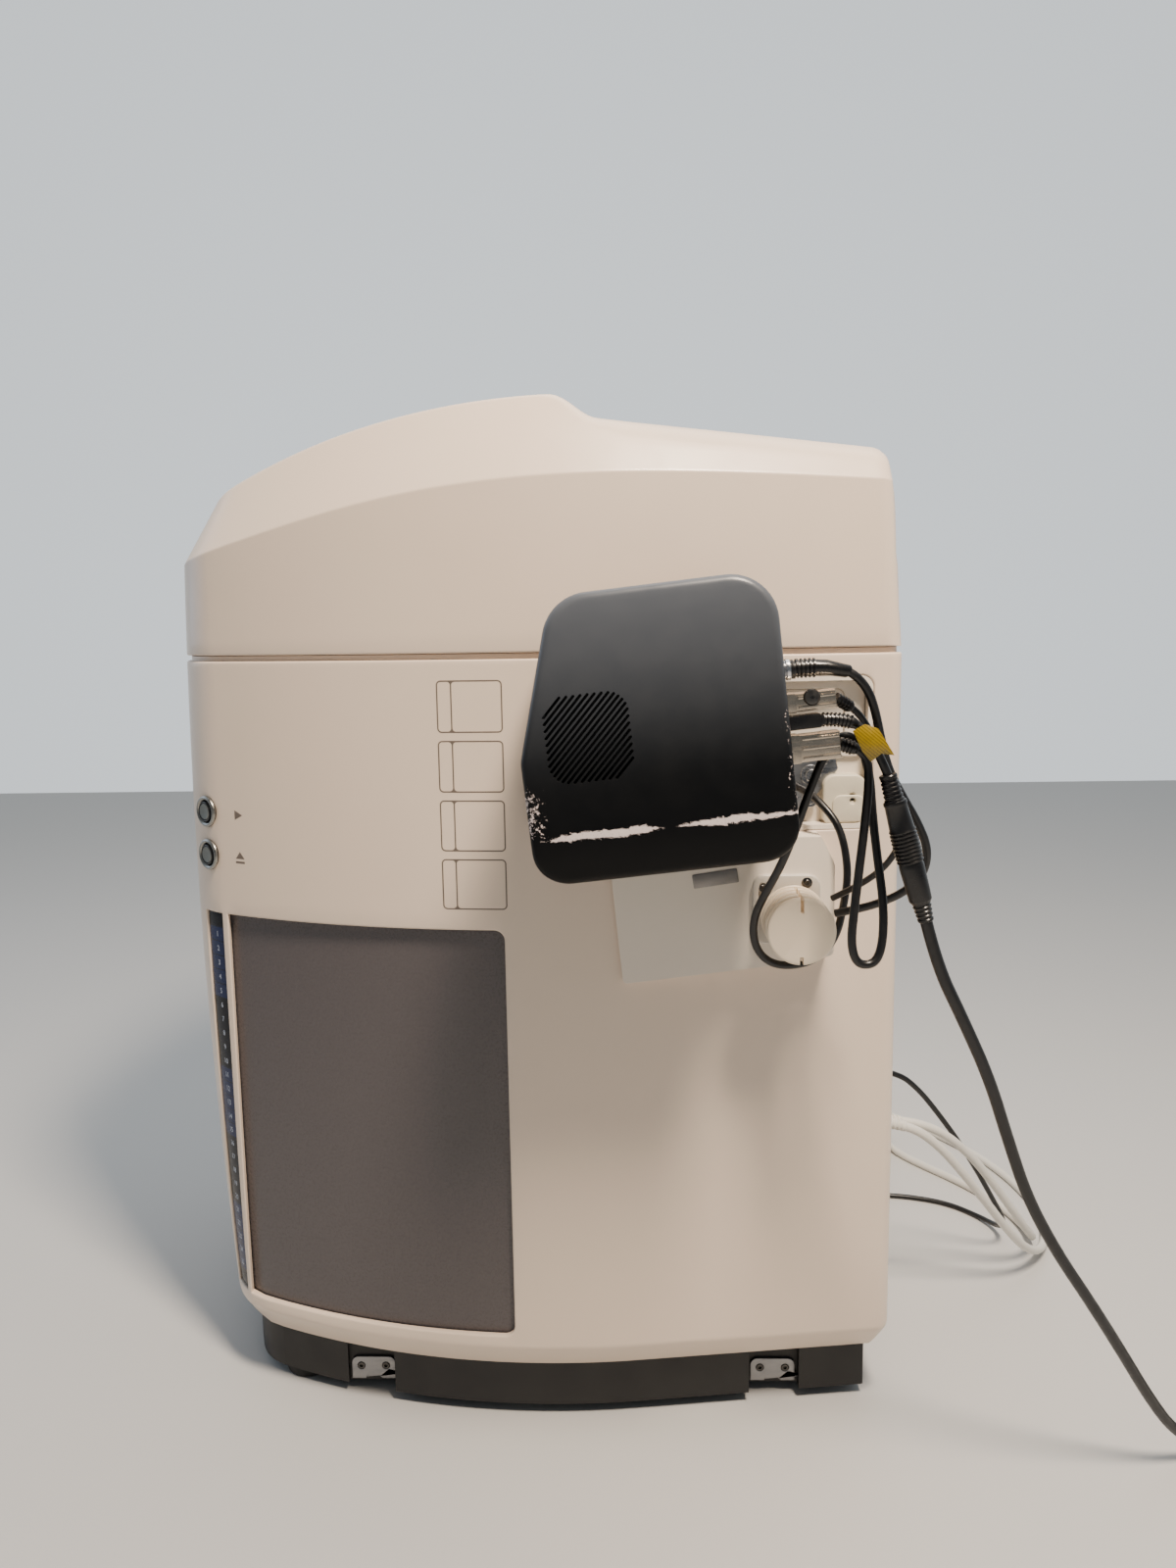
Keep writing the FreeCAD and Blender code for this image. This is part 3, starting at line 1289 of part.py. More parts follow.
# Leads behind the scanner: two white ones and a thinner black one, each from its own gland.
glands = []
for at_x, level, diameter in ((74, 160, S.white_lead), (92, 166, S.white_lead), (52, 192, S.black_lead)):
    profile = [(0, S.gland_radius), (S.gland_long, S.gland_radius), (S.gland_long, diameter / 2 + 1.5),
               (S.gland_long + 10, diameter / 2 + 0.6)]
    glands.append(turned(profile, (at_x, S.rear_reach, level), (0, 1, 0)))
subpart(feature("rear_sockets", Part.makeCompound(glands)))
gland_end = S.rear_reach + S.gland_long + 10
white_level = S.white_lead / 2
lead("white_lead_1", S.white_lead, [
    (74, gland_end, 160), (73, 300, 158), (67, 328, 146), (57, 354, 122), (46, 377, 92),
    (34, 399, 60), (16, 420, 30), (-12, 434, 10), (-50, 436, white_level), (-92, 424, white_level),
    (-130, 401, white_level), (-170, 372, white_level), (-212, 348, white_level)])
coil("white_coil_1", S.white_lead, (-212, 309.5), 2, 3)
lead("white_lead_2", S.white_lead, [
    (92, gland_end, 166), (91, 297, 162), (86, 320, 144), (78, 343, 116), (67, 365, 86),
    (54, 388, 54), (34, 412, 25), (4, 436, 8), (-36, 454, white_level), (-82, 460, white_level),
    (-128, 455, white_level), (-172, 442, white_level), (-214, 421, white_level),
    (-252, 395, white_level), (-286, 367, white_level), (-322, 348, white_level)])
coil("white_coil_2", S.white_lead, (-322, 309.5), 2, 3)
black_level = S.black_lead / 2
lead("black_lead", S.black_lead, [
    (52, gland_end, 192), (51, 296, 189), (45, 315, 172), (36, 334, 147), (27, 353, 120),
    (17, 372, 90), (7, 390, 58), (-8, 407, 28), (-33, 412, 8), (-62, 403, black_level),
    (-86, 381, black_level), (-99, 352, black_level), (-105, 323, black_level),
    (-105.5, 297, black_level)])
coil("black_coil", S.black_lead, (-130, 297), 2, 4)
plug_profile = [(0, 3.5), (14, 5), (16, 8), (38, 8), (38, 5), (44, 5)]
subpart(feature("white_plug_1", turned(plug_profile, (-265.8, 331, 8), (0, -1, 0))))
subpart(feature("white_plug_2", turned(plug_profile, (-375.8, 331, 8), (0, -1, 0))))
subpart(feature("black_plug", turned(plug_profile, (-108, 259.5, 8), (-1, 0, 0))))


# ----------------------------------------------------------------------------------------------
# Check and write
# ----------------------------------------------------------------------------------------------
doc.recompute()
for item in doc.Objects:
    if "Invalid" in item.State or "Error" in item.State:
        raise RuntimeError(f"{item.Name} failed: {item.State}")
os.makedirs("parts", exist_ok=True)
for item in SUBPARTS:
    shape = item.Shape
    if shape.isNull() or not shape.isValid() or not shape.Solids:
        raise RuntimeError(f"{item.Label} has no valid solid")
    shape.exportStep(f"parts/{item.Label}.step")
print(len(SUBPARTS), "sub-parts written")
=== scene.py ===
"""Dressed bench-top slide scanner: painted casing, hood, door, camera module, leads and inner works.

Lengths are written in millimetres, in the frame of the CAD model, and scaled to metres in one place.
"""
import math
import bmesh
import bpy
import numpy as np
from mathutils import Matrix, Vector


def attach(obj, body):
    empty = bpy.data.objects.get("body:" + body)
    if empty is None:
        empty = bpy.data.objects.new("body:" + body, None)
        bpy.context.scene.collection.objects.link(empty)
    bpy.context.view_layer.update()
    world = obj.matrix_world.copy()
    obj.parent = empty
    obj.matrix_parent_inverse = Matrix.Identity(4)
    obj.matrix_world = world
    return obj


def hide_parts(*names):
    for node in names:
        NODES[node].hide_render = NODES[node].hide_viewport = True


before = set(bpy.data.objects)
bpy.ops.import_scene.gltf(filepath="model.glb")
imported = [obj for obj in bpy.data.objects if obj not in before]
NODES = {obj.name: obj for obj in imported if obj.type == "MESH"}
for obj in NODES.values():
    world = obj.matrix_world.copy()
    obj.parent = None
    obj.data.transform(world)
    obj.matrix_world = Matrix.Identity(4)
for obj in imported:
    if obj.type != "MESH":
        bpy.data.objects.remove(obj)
for leftover in ("Cube", "Light", "Camera"):
    if leftover in bpy.data.objects:
        bpy.data.objects.remove(bpy.data.objects[leftover])
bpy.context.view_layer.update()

MM = 0.001
X, Y, Z = Vector((1, 0, 0)), Vector((0, 1, 0)), Vector((0, 0, 1))

# ---- Driving dimensions, as in the part's source ---------
FRONT_REACH, REAR_REACH, HALF_WIDTH, WIDEST_AT = 258.6, 258.7, 220, 20
FRONT_RADIUS, CORNER_RADIUS, SIDE_RADIUS, REAR_CORNER = 385, 60, 520, 10
TAPER = math.radians(7)
BULGE_RADIUS, BULGE_LEVEL = 4800, 400
WALL, CASING_BOTTOM, CHAMFER_TOP, CHAMFER_INSET, CASING_TOP = 4, 41, 60, 12, 531
FRONT_HALF, REAR_HALF, COVER_GAP = 130, 150, 0.3
OPENING_BOTTOM, OPENING_TOP = 69, 355
DOOR_HALF, DOOR_GAP, DOOR_THICK = 116, 1.5, 4
PANEL_FRONT, PANEL_REAR, PANEL_ROUND, PANEL_INSET, PANEL_THICK, PANEL_LAP = -201, -2, 7, 5, 2, 2
STRIP_NEAR, STRIP_FAR, STRIP_INSET, STRIP_THICK, STRIP_GAP = 29, 47.8, 1.5, 2.5, 0.5
BUTTON_ANGLE, START_LEVEL, OPEN_LEVEL, BEZEL_BARREL, BEZEL_HOLE = 38.4, 427, 396.5, 9.5, 9.8
MODULE_AT, MODULE_LEVEL, MODULE_TILT = 97, 495, math.radians(6)
MODULE_NEAR, MODULE_FACE = 223.5, 335
LAMP_AT, LAMP_LEVEL, LAMP_DISC, PLATE_FACE = 183.5, 365.4, 20.8, 221.5
BAY_FLOOR, BAY_FRONT, BAY_REAR, BAY_BOTTOM, BAY_TOP, BAY_ROUND = 186, 165, 239, 416.5, 517, 8
NECK_RADIUS, NECK_LEVEL = 25, 492
FAN_X, FAN_LEVEL, FAN_WINDOW = -100, 440, 36

# ---- Camera at the photograph's place --------------------
CAMERA_AT = (931.6, 77, 548.5)
CAMERA_RIGHT = (-0.030138, 0.999425, -0.015568)
CAMERA_UP = (-0.136051, 0.011328, 0.990637)
CAMERA_BACK = (0.990244, 0.031974, 0.135631)
LENS, SENSOR, NEAREST = 25.875, 36, 0.02


def in_scene(name, data):
    """A new object of the scene."""
    made = bpy.data.objects.new(name, data)
    bpy.context.scene.collection.objects.link(made)
    return made


def set_camera():
    data = bpy.data.cameras.new("camera")
    data.lens = LENS
    data.sensor_width = SENSOR
    data.clip_start = NEAREST
    camera = in_scene("camera", data)
    columns = Matrix((CAMERA_RIGHT, CAMERA_UP, CAMERA_BACK)).transposed()
    camera.matrix_world = Matrix.Translation(Vector(CAMERA_AT) * MM) @ columns.to_4x4()
    bpy.context.scene.camera = camera


set_camera()


# ---- Helpers: pieces from meshes in millimetres ----------
def piece(name, bm, material, slot, body="chassis", stands_for=(), sharp=32):
    """Make a finished piece of a bmesh drawn in millimetres."""
    bmesh.ops.transform(bm, matrix=Matrix.Scale(MM, 4), verts=bm.verts)
    mesh = bpy.data.meshes.new(name)
    bm.to_mesh(mesh)
    bm.free()
    mesh.shade_smooth()
    mesh.set_sharp_from_angle(angle=math.radians(sharp))
    mesh.materials.append(material)
    made = in_scene(name, mesh)
    finish_piece(made, body, stands_for)
    return made


def finish_piece(made, body, stands_for):
    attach(made, body)
    if stands_for:
        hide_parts(*stands_for)


def frame_to(direction):
    """Rotation whose local Z runs along a direction."""
    along = Vector(direction).normalized()
    up = X if abs(along.dot(Z)) > 0.99 else Z
    side = up.cross(along).normalized()
    return Matrix((side, along.cross(side), along)).transposed()


def add_turned(bm, profile, foot, direction, segments=48, closed=True):
    """Add a solid of revolution; its profile is (distance along the axis, radius)."""
    turn = frame_to(direction)
    foot = Vector(foot)
    rings = []
    for along, radius in profile:
        if radius == 0:
            rings.append([bm.verts.new(foot + turn @ Vector((0, 0, along)))])
            continue
        ring = []
        for step in range(segments):
            angle = 2 * math.pi * step / segments
            local = Vector((radius * math.cos(angle), radius * math.sin(angle), along))
            ring.append(bm.verts.new(foot + turn @ local))
        rings.append(ring)
    join_all(bm, rings)
    if closed:
        for ring, flip in ((rings[0], True), (rings[-1], False)):
            if len(ring) > 2:
                bm.faces.new(list(reversed(ring)) if flip else ring)


def join_rings(bm, low, high):
    """Skin two rings of the same count, or a ring and a point."""
    count = max(len(low), len(high))
    for step in range(count):
        after = (step + 1) % count
        corners = []
        for vert in (low[step % len(low)], low[after % len(low)], high[after % len(high)],
                     high[step % len(high)]):
            if vert not in corners:
                corners.append(vert)
        if len(corners) > 2:
            bm.faces.new(corners)


def join_all(bm, rings):
    """Skin a row of rings, each with the next."""
    for low, high in zip(rings, rings[1:]):
        join_rings(bm, low, high)


def fill(bm, rings):
    """Fill the flat face between an outer ring and the rings of its holes."""
    edges = []
    for ring in rings:
        for here, there in zip(ring, ring[1:] + ring[:1]):
            edges.append(bm.edges.get((here, there)) or bm.edges.new((here, there)))
    bmesh.ops.triangle_fill(bm, use_beauty=True, use_dissolve=False, edges=edges)


def cut(bm, place, normal):
    """Cut all faces along a plane."""
    bmesh.ops.bisect_plane(bm, geom=bm.verts[:] + bm.edges[:] + bm.faces[:],
                           plane_co=place, plane_no=normal)


def merge(bm, other):
    """Add a finished bmesh to another one, and free it."""
    mesh = bpy.data.meshes.new("merged")
    other.to_mesh(mesh)
    other.free()
    bm.from_mesh(mesh)
    bpy.data.meshes.remove(mesh)


def turned(name, profile, foot, direction, material, slot, segments=48, **facts):
    bm = bmesh.new()
    add_turned(bm, profile, foot, direction, segments)
    return piece(name, bm, material, slot, **facts)


def add_block(bm, low, high, bevel, matrix=None):
    """Add a block with softened edges."""
    made = bmesh.ops.create_cube(bm, size=1)["verts"]
    size = Vector(high) - Vector(low)
    middle = (Vector(high) + Vector(low)) / 2
    for vert in made:
        vert.co = Vector((vert.co.x * size.x, vert.co.y * size.y, vert.co.z * size.z)) + middle
    edges = list({edge for vert in made for edge in vert.link_edges})
    done = bmesh.ops.bevel(bm, geom=edges, offset=bevel, segments=2, profile=0.6, affect="EDGES",
                           clamp_overlap=True)
    made = list({vert for face in done["faces"] for vert in face.verts} | set(done["verts"]))
    if matrix:
        bmesh.ops.transform(bm, matrix=matrix, verts=made)


def arc(centre, radius, start, end, steps):
    """Points of a plane arc, its angles in degrees."""
    points = []
    for step in range(steps + 1):
        angle = math.radians(start + (end - start) * step / steps)
        points.append((centre[0] + radius * math.cos(angle), centre[1] + radius * math.sin(angle)))
    return points


def rounded_loop(corners, radii, steps=8):
    """A closed plane loop, counter-clockwise, with a radius at each corner."""
    points = []
    count = len(corners)
    for i, corner in enumerate(corners):
        here = Vector(corner)
        before = (Vector(corners[i - 1]) - here).normalized()
        after = (Vector(corners[(i + 1) % count]) - here).normalized()
        half = before.angle(after) / 2
        if radii[i] <= 0:
            points.append(tuple(here))
            continue
        reach = radii[i] / math.tan(half)
        centre = here + (before + after).normalized() * (radii[i] / math.sin(half))
        start = here + before * reach - centre
        sweep = math.pi - 2 * half
        for step in range(steps + 1):
            angle = sweep * step / steps
            turned_by = Matrix.Rotation(angle, 2)
            points.append(tuple(centre + turned_by @ start))
    return points


def rectangle(left, bottom, right, top, radii=0, steps=8):
    if not isinstance(radii, (list, tuple)):
        radii = [radii] * 4
    return rounded_loop([(left, bottom), (right, bottom), (right, top), (left, top)], radii, steps)


def circle(centre, radius, steps=48):
    return arc(centre, radius, 0, 360 * (1 - 1 / steps), steps - 1)


def offset_loop(loop, distance):
    """The loop set in by a distance; a negative one sets it out."""
    points = [Vector(point) for point in loop]
    moved = []
    count = len(points)
    for i, here in enumerate(points):
        before = here - points[i - 1]
        after = points[(i + 1) % count] - here
        one = Vector((-before.y, before.x)).normalized()
        two = Vector((-after.y, after.x)).normalized()
        moved.append(tuple(here + (one + two) * (distance / (1 + one.dot(two)))))
    return moved


def spread(loop, pitch):
    """The loop with more points on its long sides."""
    points = []
    for here, there in zip(loop, loop[1:] + loop[:1]):
        apart = math.dist(here, there)
        parts = max(1, math.ceil(apart / pitch))
        points += [(here[0] + (there[0] - here[0]) * part / parts,
                    here[1] + (there[1] - here[1]) * part / parts) for part in range(parts)]
    return points


def lip_loops(loop, lip, steps, sense=1):
    """Loops of a rounded lip, each with its depth, from the face down; sense is -1 round a hole."""
    for step in range(steps + 1):
        angle = math.pi / 2 * step / steps
        yield offset_loop(loop, lip * (1 - math.sin(angle)) * sense), lip * (1 - math.cos(angle))


def as_drawn(a, b, depth):
    return Vector((a, b, depth))


def add_sheet(bm, outer, holes, place, thick, lip, lip_steps=4, pitch=400):
    """Add a plate with holes: its face has rounded lips, place(a, b, depth) sets it in space.

    The outer loop and the holes are all counter-clockwise.
    """
    front, back = [], []
    for loop, sense in [(spread(outer, pitch), 1)] + [(spread(hole, pitch), -1) for hole in holes]:
        rings = [[bm.verts.new(place(a, b, depth)) for a, b in inset]
                 for inset, depth in lip_loops(loop, lip, lip_steps, sense)]
        rings.append([bm.verts.new(place(a, b, thick)) for a, b in loop])
        join_all(bm, rings)
        front.append(rings[0])
        back.append(rings[-1])
    fill(bm, front)
    fill(bm, back)


def settle(bm):
    bmesh.ops.recalc_face_normals(bm, faces=bm.faces)
    return bm


def mesh_of(data):
    """The mesh of a curve or a text, by way of an object that is removed again."""
    probe = in_scene("probe", data)
    mesh = bpy.data.meshes.new_from_object(probe.evaluated_get(bpy.context.evaluated_depsgraph_get()))
    bpy.data.objects.remove(probe)
    return mesh


def spline_points(curve):
    """Points along a curve's spline, read before it is given a thickness."""
    mesh = mesh_of(curve)
    points = [vert.co / MM for vert in mesh.vertices]
    bpy.data.meshes.remove(mesh)
    return points


def lead(name, route, diameter, material, stands_for):
    """A free cord along its route; returns the points of its line."""
    data = bpy.data.curves.new(name, "CURVE")
    data.dimensions = "3D"
    data.resolution_u = 8
    spline = data.splines.new("NURBS")
    spline.points.add(len(route) - 1)
    for control, point in zip(spline.points, route):
        control.co = (*(Vector(point) * MM), 1)
    spline.order_u = 3
    spline.use_endpoint_u = True
    line = spline_points(data)
    data.bevel_depth = diameter / 2 * MM
    data.bevel_resolution = 5
    data.use_fill_caps = True
    data.materials.append(material)
    made = in_scene(name, data)
    finish_piece(made, "chassis", stands_for)
    return line


SLEEVE_SEGMENTS = 28


def sleeve(name, line, profile, material, slot, start=0.0):
    """A sleeve round a cord's line; its profile is (distance along the line, radius)."""
    bm = bmesh.new()
    reached = [0.0]
    for here, there in zip(line, line[1:]):
        reached.append(reached[-1] + (there - here).length)
    rings = []
    side = None
    for along, radius in profile:
        wanted = along + start
        index = max(0, min(len(line) - 2, int(np.searchsorted(reached, wanted)) - 1))
        heading = (line[index + 1] - line[index]).normalized()
        centre = line[index] + heading * (wanted - reached[index])
        if side is None:
            side = heading.cross(Z if abs(heading.z) < 0.9 else X).normalized()
        side = (side - heading * side.dot(heading)).normalized()
        other = heading.cross(side)
        ring = []
        for step in range(SLEEVE_SEGMENTS):
            angle = 2 * math.pi * step / SLEEVE_SEGMENTS
            ring.append(bm.verts.new(centre + (side * math.cos(angle) + other * math.sin(angle)) * radius))
        rings.append(ring)
    join_all(bm, rings)
    bm.faces.new(list(reversed(rings[0])))
    bm.faces.new(rings[-1])
    piece(name, settle(bm), material, slot)


def ribs(start, end, high, low, pitch):
    """Profile of a ribbed stretch."""
    profile = []
    at = start
    while at < end:
        profile += [(at, high), (at + pitch * 0.35, high), (at + pitch * 0.45, low), (at + pitch * 0.85, low)]
        at += pitch
    return profile


def relief_profile(length, base, tip, grooves):
    """A tapered strain relief with a row of grooves."""
    profile = [(0, base)]
    pitch = length / (grooves + 1)
    for groove in range(grooves):
        at = pitch * (groove + 0.6)
        wide = base + (tip - base) * at / length
        profile += [(at, wide), (at + 0.15 * pitch, wide - 0.7), (at + 0.4 * pitch, wide - 0.8),
                    (at + 0.55 * pitch, wide - 0.1)]
    profile += [(length - 0.6, tip + 0.1), (length, tip - 0.4)]
    return profile


COIL_STEP, COIL_LAP, COIL_CROSS = 24, 330, 30


def coil_keys(rows):
    """Keys (angle wound, radius, height) of a coil's rows; each change of row starts a little earlier."""
    keys = []
    for number, (radius, height) in enumerate(rows):
        begin = COIL_LAP * number + COIL_CROSS if number else 0
        keys += [(begin, radius, height), (COIL_LAP * (number + 1) - COIL_CROSS, radius, height)]
    return keys[:-1]


def coil_turns(centre, keys, start, sense, end):
    """Points of a coil, the first one at the start angle."""
    points = []
    wound = 0
    while wound <= end:
        for low, high in zip(keys, keys[1:] + [(1e6,) + keys[-1][1:]]):
            if low[0] <= wound <= high[0]:
                share = (wound - low[0]) / (high[0] - low[0])
                radius = low[1] + (high[1] - low[1]) * share
                height = low[2] + (high[2] - low[2]) * share
                break
        angle = math.radians(start + sense * wound)
        points.append((centre[0] + radius * math.cos(angle), centre[1] + radius * math.sin(angle), height))
        wound += COIL_STEP
    return points


def beside(centre, tail, start, sense):
    """A coil's tail, given as if the coil started on its +X side, turned to where it really starts."""
    turn = math.radians(start)
    points = []
    for x, y, z in tail:
        y *= sense
        points.append((centre[0] + x * math.cos(turn) - y * math.sin(turn),
                       centre[1] + x * math.sin(turn) + y * math.cos(turn), z))
    return points


def coiled(route, centre, coil, tail, start, sense):
    """A route that goes on into a coil and comes off it again."""
    keys, end = coil
    return route + coil_turns(centre, keys, start, sense, end) + beside(centre, tail, start, sense)


# Each coil: its rows as (radius, height), and the angle wound at its end
MAINS, DATA = 7, 4.5
MAINS_TURNS = coil_keys([(42, 3.5), (35, 3.5), (35, 10.5), (42, 10.5), (42, 17.5), (35, 17.5)]), 1760
DATA_TURNS = coil_keys([(27, 2.25), (22.5, 2.25), (22.5, 6.75), (27, 6.75), (27, 11.25), (22.5, 11.25),
                        (22.5, 15.75), (27, 15.75)]), 2500
FLOOR_TAIL = [(36, -8, 21), (41, 2, 24.5), (46, 14, 24.5), (50, 26, 21), (50.5, 38, 17), (46, 50, 14),
              (36, 57.5, 13), (23, 58.8, 13)]
WHITE_TAIL = [(36, -8, 21), (41, 2, 24.5), (45, 12, 24.5), (47.5, 23, 20), (47, 35, 14), (42, 46, 9.5),
              (33, 52.5, 8), (21.5, 53.8, 8)]
DATA_TAIL = [(29.5, 6, 15.2), (33, 14, 13.2), (35.5, 23, 11), (34, 31.5, 9), (29, 36.5, 8), (22, 37.5, 8)]
FLOOR_COIL, WHITE_COIL_1, WHITE_COIL_2, BLACK_COIL = (181, 560), (-212, 309.5), (-322, 309.5), (-130, 297)

DETECTOR_ROUTE = [(306, 172.5, 525.6), (306, 189, 526.6), (306, 202, 524), (305, 212, 514), (303, 217, 500),
                  (300, 221, 484), (296, 226, 468), (293, 235, 452), (290, 245, 436), (287, 252, 420),
                  (283, 251, 405), (276, 243, 393), (266, 232, 384), (256, 219, 377), (250, 206.2, 373)]
SIGNAL_ROUTE = [(303, 194.4, 508.9), (300, 206, 503), (293, 216, 490), (286, 226, 472), (282, 235, 454),
                (279, 240, 437), (275, 239, 421), (268, 233, 407), (258, 226, 397), (248, 217, 388),
                (240, 206, 380)]
SLACK_ROUTE = [(301, 197.1, 483), (301, 207, 481), (301.5, 213.5, 474), (302, 214, 460), (303, 212, 438),
               (304, 209, 412), (305, 206.5, 390), (306, 204.5, 369), (305.5, 208.5, 357),
               (304.5, 219, 357), (303, 223.5, 369), (300, 224, 392),
               (296, 221, 416), (294, 218, 442), (293, 216.4, 465.7), (291.5, 210.4, 484.3),
               (291, 199.9, 488.1), (290.5, 190.9, 475.8), (288, 183.3, 454.8), (283.5, 176.8, 433),
               (275, 169.6, 409.2), (263.5, 161.2, 388.6), (251, 155.5, 370), (246, 157, 351),
               (243, 167, 339), (240, 183, 336.5), (238, 199, 341), (236, 210, 355), (235, 214, 373),
               (233, 217, 391), (230, 216, 408), (226, 212, 424), (218, 203, 436), (207, 195, 443),
               (191.2, 186, 446)]
COUPLER_TOP, COUPLER_LONG = Vector((312, 222, 467)), 86
COUPLER_AXIS = Vector((0, 23, -83)).normalized()
COUPLER_END = COUPLER_TOP + COUPLER_AXIS * COUPLER_LONG
POWER_ROUTE = [(311, 185.4, 497.7), (311, 198, 498), (311, 208, 493), (311.5, 215.5, 482), tuple(COUPLER_TOP)]
FLOOR_ROUTE = [tuple(COUPLER_END), (311, 252, 358), (308, 268, 326), (303, 286, 288), (297, 300, 248),
               (291, 315, 208), (285, 336, 170), (279, 360, 134), (271, 384, 96), (262, 407, 58),
               (252, 430, 26), (242, 458, 8), (231, 492, 3.5), (224, 528, 3.5)]
WHITE_ROUTE_1 = [(74, 274.7, 160), (73, 300, 158), (67, 328, 146), (57, 354, 122), (46, 377, 92),
                 (34, 399, 60), (16, 420, 30), (-12, 434, 10), (-50, 436, 3.5), (-92, 424, 3.5),
                 (-130, 401, 3.5), (-164, 374, 3.5), (-188, 358, 3.5)]
WHITE_ROUTE_2 = [(92, 274.7, 166), (91, 297, 162), (86, 320, 144), (78, 343, 116), (67, 365, 86),
                 (54, 388, 54), (34, 412, 25), (4, 436, 8), (-36, 454, 3.5), (-82, 460, 3.5),
                 (-128, 455, 3.5), (-172, 442, 3.5), (-214, 421, 3.5), (-252, 395, 3.5), (-282, 370, 3.5),
                 (-300, 358, 3.5)]
BLACK_ROUTE = [(52, 274.7, 192), (51, 296, 189), (45, 315, 172), (36, 334, 147), (27, 353, 120),
               (17, 372, 90), (7, 390, 58), (-8, 407, 28), (-33, 412, 8), (-62, 403, 2.25), (-86, 381, 2.25),
               (-98, 352, 2.25), (-103, 323, 2.25)]


# ---- Materials -------------------------------------------
def linear(red, green, blue):
    """A screen colour, 0 to 255, as the linear colour that a shader takes."""
    values = []
    for value in (red, green, blue):
        value /= 255
        values.append(value / 12.92 if value <= 0.04045 else ((value + 0.055) / 1.055) ** 2.4)
    return (*values, 1)


def feed(node, inputs):
    """Give each input of a node its value, or link it to another node's output."""
    for key, value in inputs.items():
        if isinstance(value, bpy.types.NodeSocket):
            node.id_data.links.new(value, node.inputs[key])
        else:
            node.inputs[key].default_value = value


def add_node(tree, kind, inputs=None, **settings):
    made = tree.nodes.new(kind)
    for key, value in settings.items():
        setattr(made, key, value)
    feed(made, inputs or {})
    return made


COAT_ROUGHNESS = 0.12


class Finish:
    """A material under construction: a shader, and helpers that add its detail."""

    def __init__(self, name, colour, roughness, metallic=0.0, coat=0.0, specular=0.5):
        self.material = bpy.data.materials.new(name)
        self.material.use_nodes = True
        self.tree = self.material.node_tree
        self.shader = self.tree.nodes["Principled BSDF"]
        self.roughness = roughness
        feed(self.shader, {"Base Color": linear(*colour), "Roughness": roughness, "Metallic": metallic,
                           "Coat Weight": coat, "Coat Roughness": COAT_ROUGHNESS,
                           "Specular IOR Level": specular})
        self.place = self.node("ShaderNodeTexCoord").outputs["Object"]
        self.bumped = None

    def node(self, kind, inputs=None, **settings):
        return add_node(self.tree, kind, inputs, **settings)

    def noise(self, size, detail=3.0, rough=0.55, stretch=None):
        """Noise whose features are about size millimetres across; stretch scales each axis."""
        source = self.place
        if stretch:
            source = self.node("ShaderNodeMapping", {"Scale": stretch, "Vector": source}).outputs["Vector"]
        return self.node("ShaderNodeTexNoise", {"Scale": 1 / (size * MM), "Detail": detail, "Roughness": rough,
                                                "Vector": source}).outputs["Fac"]

    def ranged(self, source, low, high, to_low=0.0, to_high=1.0):
        """The source from low to high, eased into another range."""
        return self.node("ShaderNodeMapRange", {"Value": source, "From Min": low, "From Max": high,
                                                "To Min": to_low, "To Max": to_high},
                         interpolation_type="SMOOTHSTEP").outputs["Result"]

    def math(self, operation, *values):
        return self.node("ShaderNodeMath", dict(enumerate(values)), operation=operation).outputs["Value"]

    def tint(self, mask, colour):
        """Lay another colour over the present one where the mask is 1."""
        present = self.shader.inputs["Base Color"]
        below = present.links[0].from_socket if present.is_linked else present.default_value
        mix = self.node("ShaderNodeMix", {"A": below, "B": linear(*colour), "Factor": mask}, data_type="RGBA")
        feed(self.shader, {"Base Color": mix.outputs["Result"]})

    def vary_roughness(self, mask, spread_by):
        low, high = self.roughness - spread_by, self.roughness + spread_by
        feed(self.shader, {"Roughness": self.ranged(mask, 0.25, 0.75, low, high)})

    def bump(self, height, depth):
        """Relief from a height map, its depth in millimetres."""
        inputs = {"Distance": depth * MM, "Strength": 1.0, "Height": height}
        if self.bumped:
            inputs["Normal"] = self.bumped
        self.bumped = self.node("ShaderNodeBump", inputs).outputs["Normal"]
        feed(self.shader, {"Normal": self.bumped})

    def coordinate(self, origin, turn_x):
        """Local coordinates in millimetres about an origin, turned about X."""
        inputs = {"Location": Vector(origin) * MM, "Rotation": (turn_x, 0, 0), "Scale": (MM, MM, MM),
                  "Vector": self.place}
        mapping = self.node("ShaderNodeMapping", inputs, vector_type="TEXTURE")
        return self.node("ShaderNodeSeparateXYZ", {"Vector": mapping.outputs["Vector"]}).outputs


def satin_paint(name, colour, roughness, stain=(150, 140, 130), coat=0.15):
    """Sprayed enamel: fine orange peel, faint cloudiness, a few dull marks."""
    finish = Finish(name, colour, roughness, coat=coat)
    finish.tint(finish.ranged(finish.noise(90, 4), 0.35, 0.8, 0, 0.04), stain)
    finish.tint(finish.ranged(finish.noise(7, 5, 0.7), 0.66, 0.8, 0, 0.06), stain)
    finish.vary_roughness(finish.noise(28, 4), 0.06)
    finish.bump(finish.noise(2.4, 2, 0.4), 0.014)
    finish.bump(finish.noise(0.55, 1, 0.4), 0.004)
    return finish.material


def moulded(name, colour, roughness, grain=0.5, depth=0.01, lift=(90, 90, 92)):
    """Moulded plastic: fine grain, with a little dust in it."""
    finish = Finish(name, colour, roughness)
    finish.tint(finish.ranged(finish.noise(60, 5, 0.6), 0.5, 0.85, 0, 0.07), lift)
    finish.vary_roughness(finish.noise(9, 4), 0.08)
    finish.bump(finish.noise(grain, 3, 0.6), depth)
    return finish.material


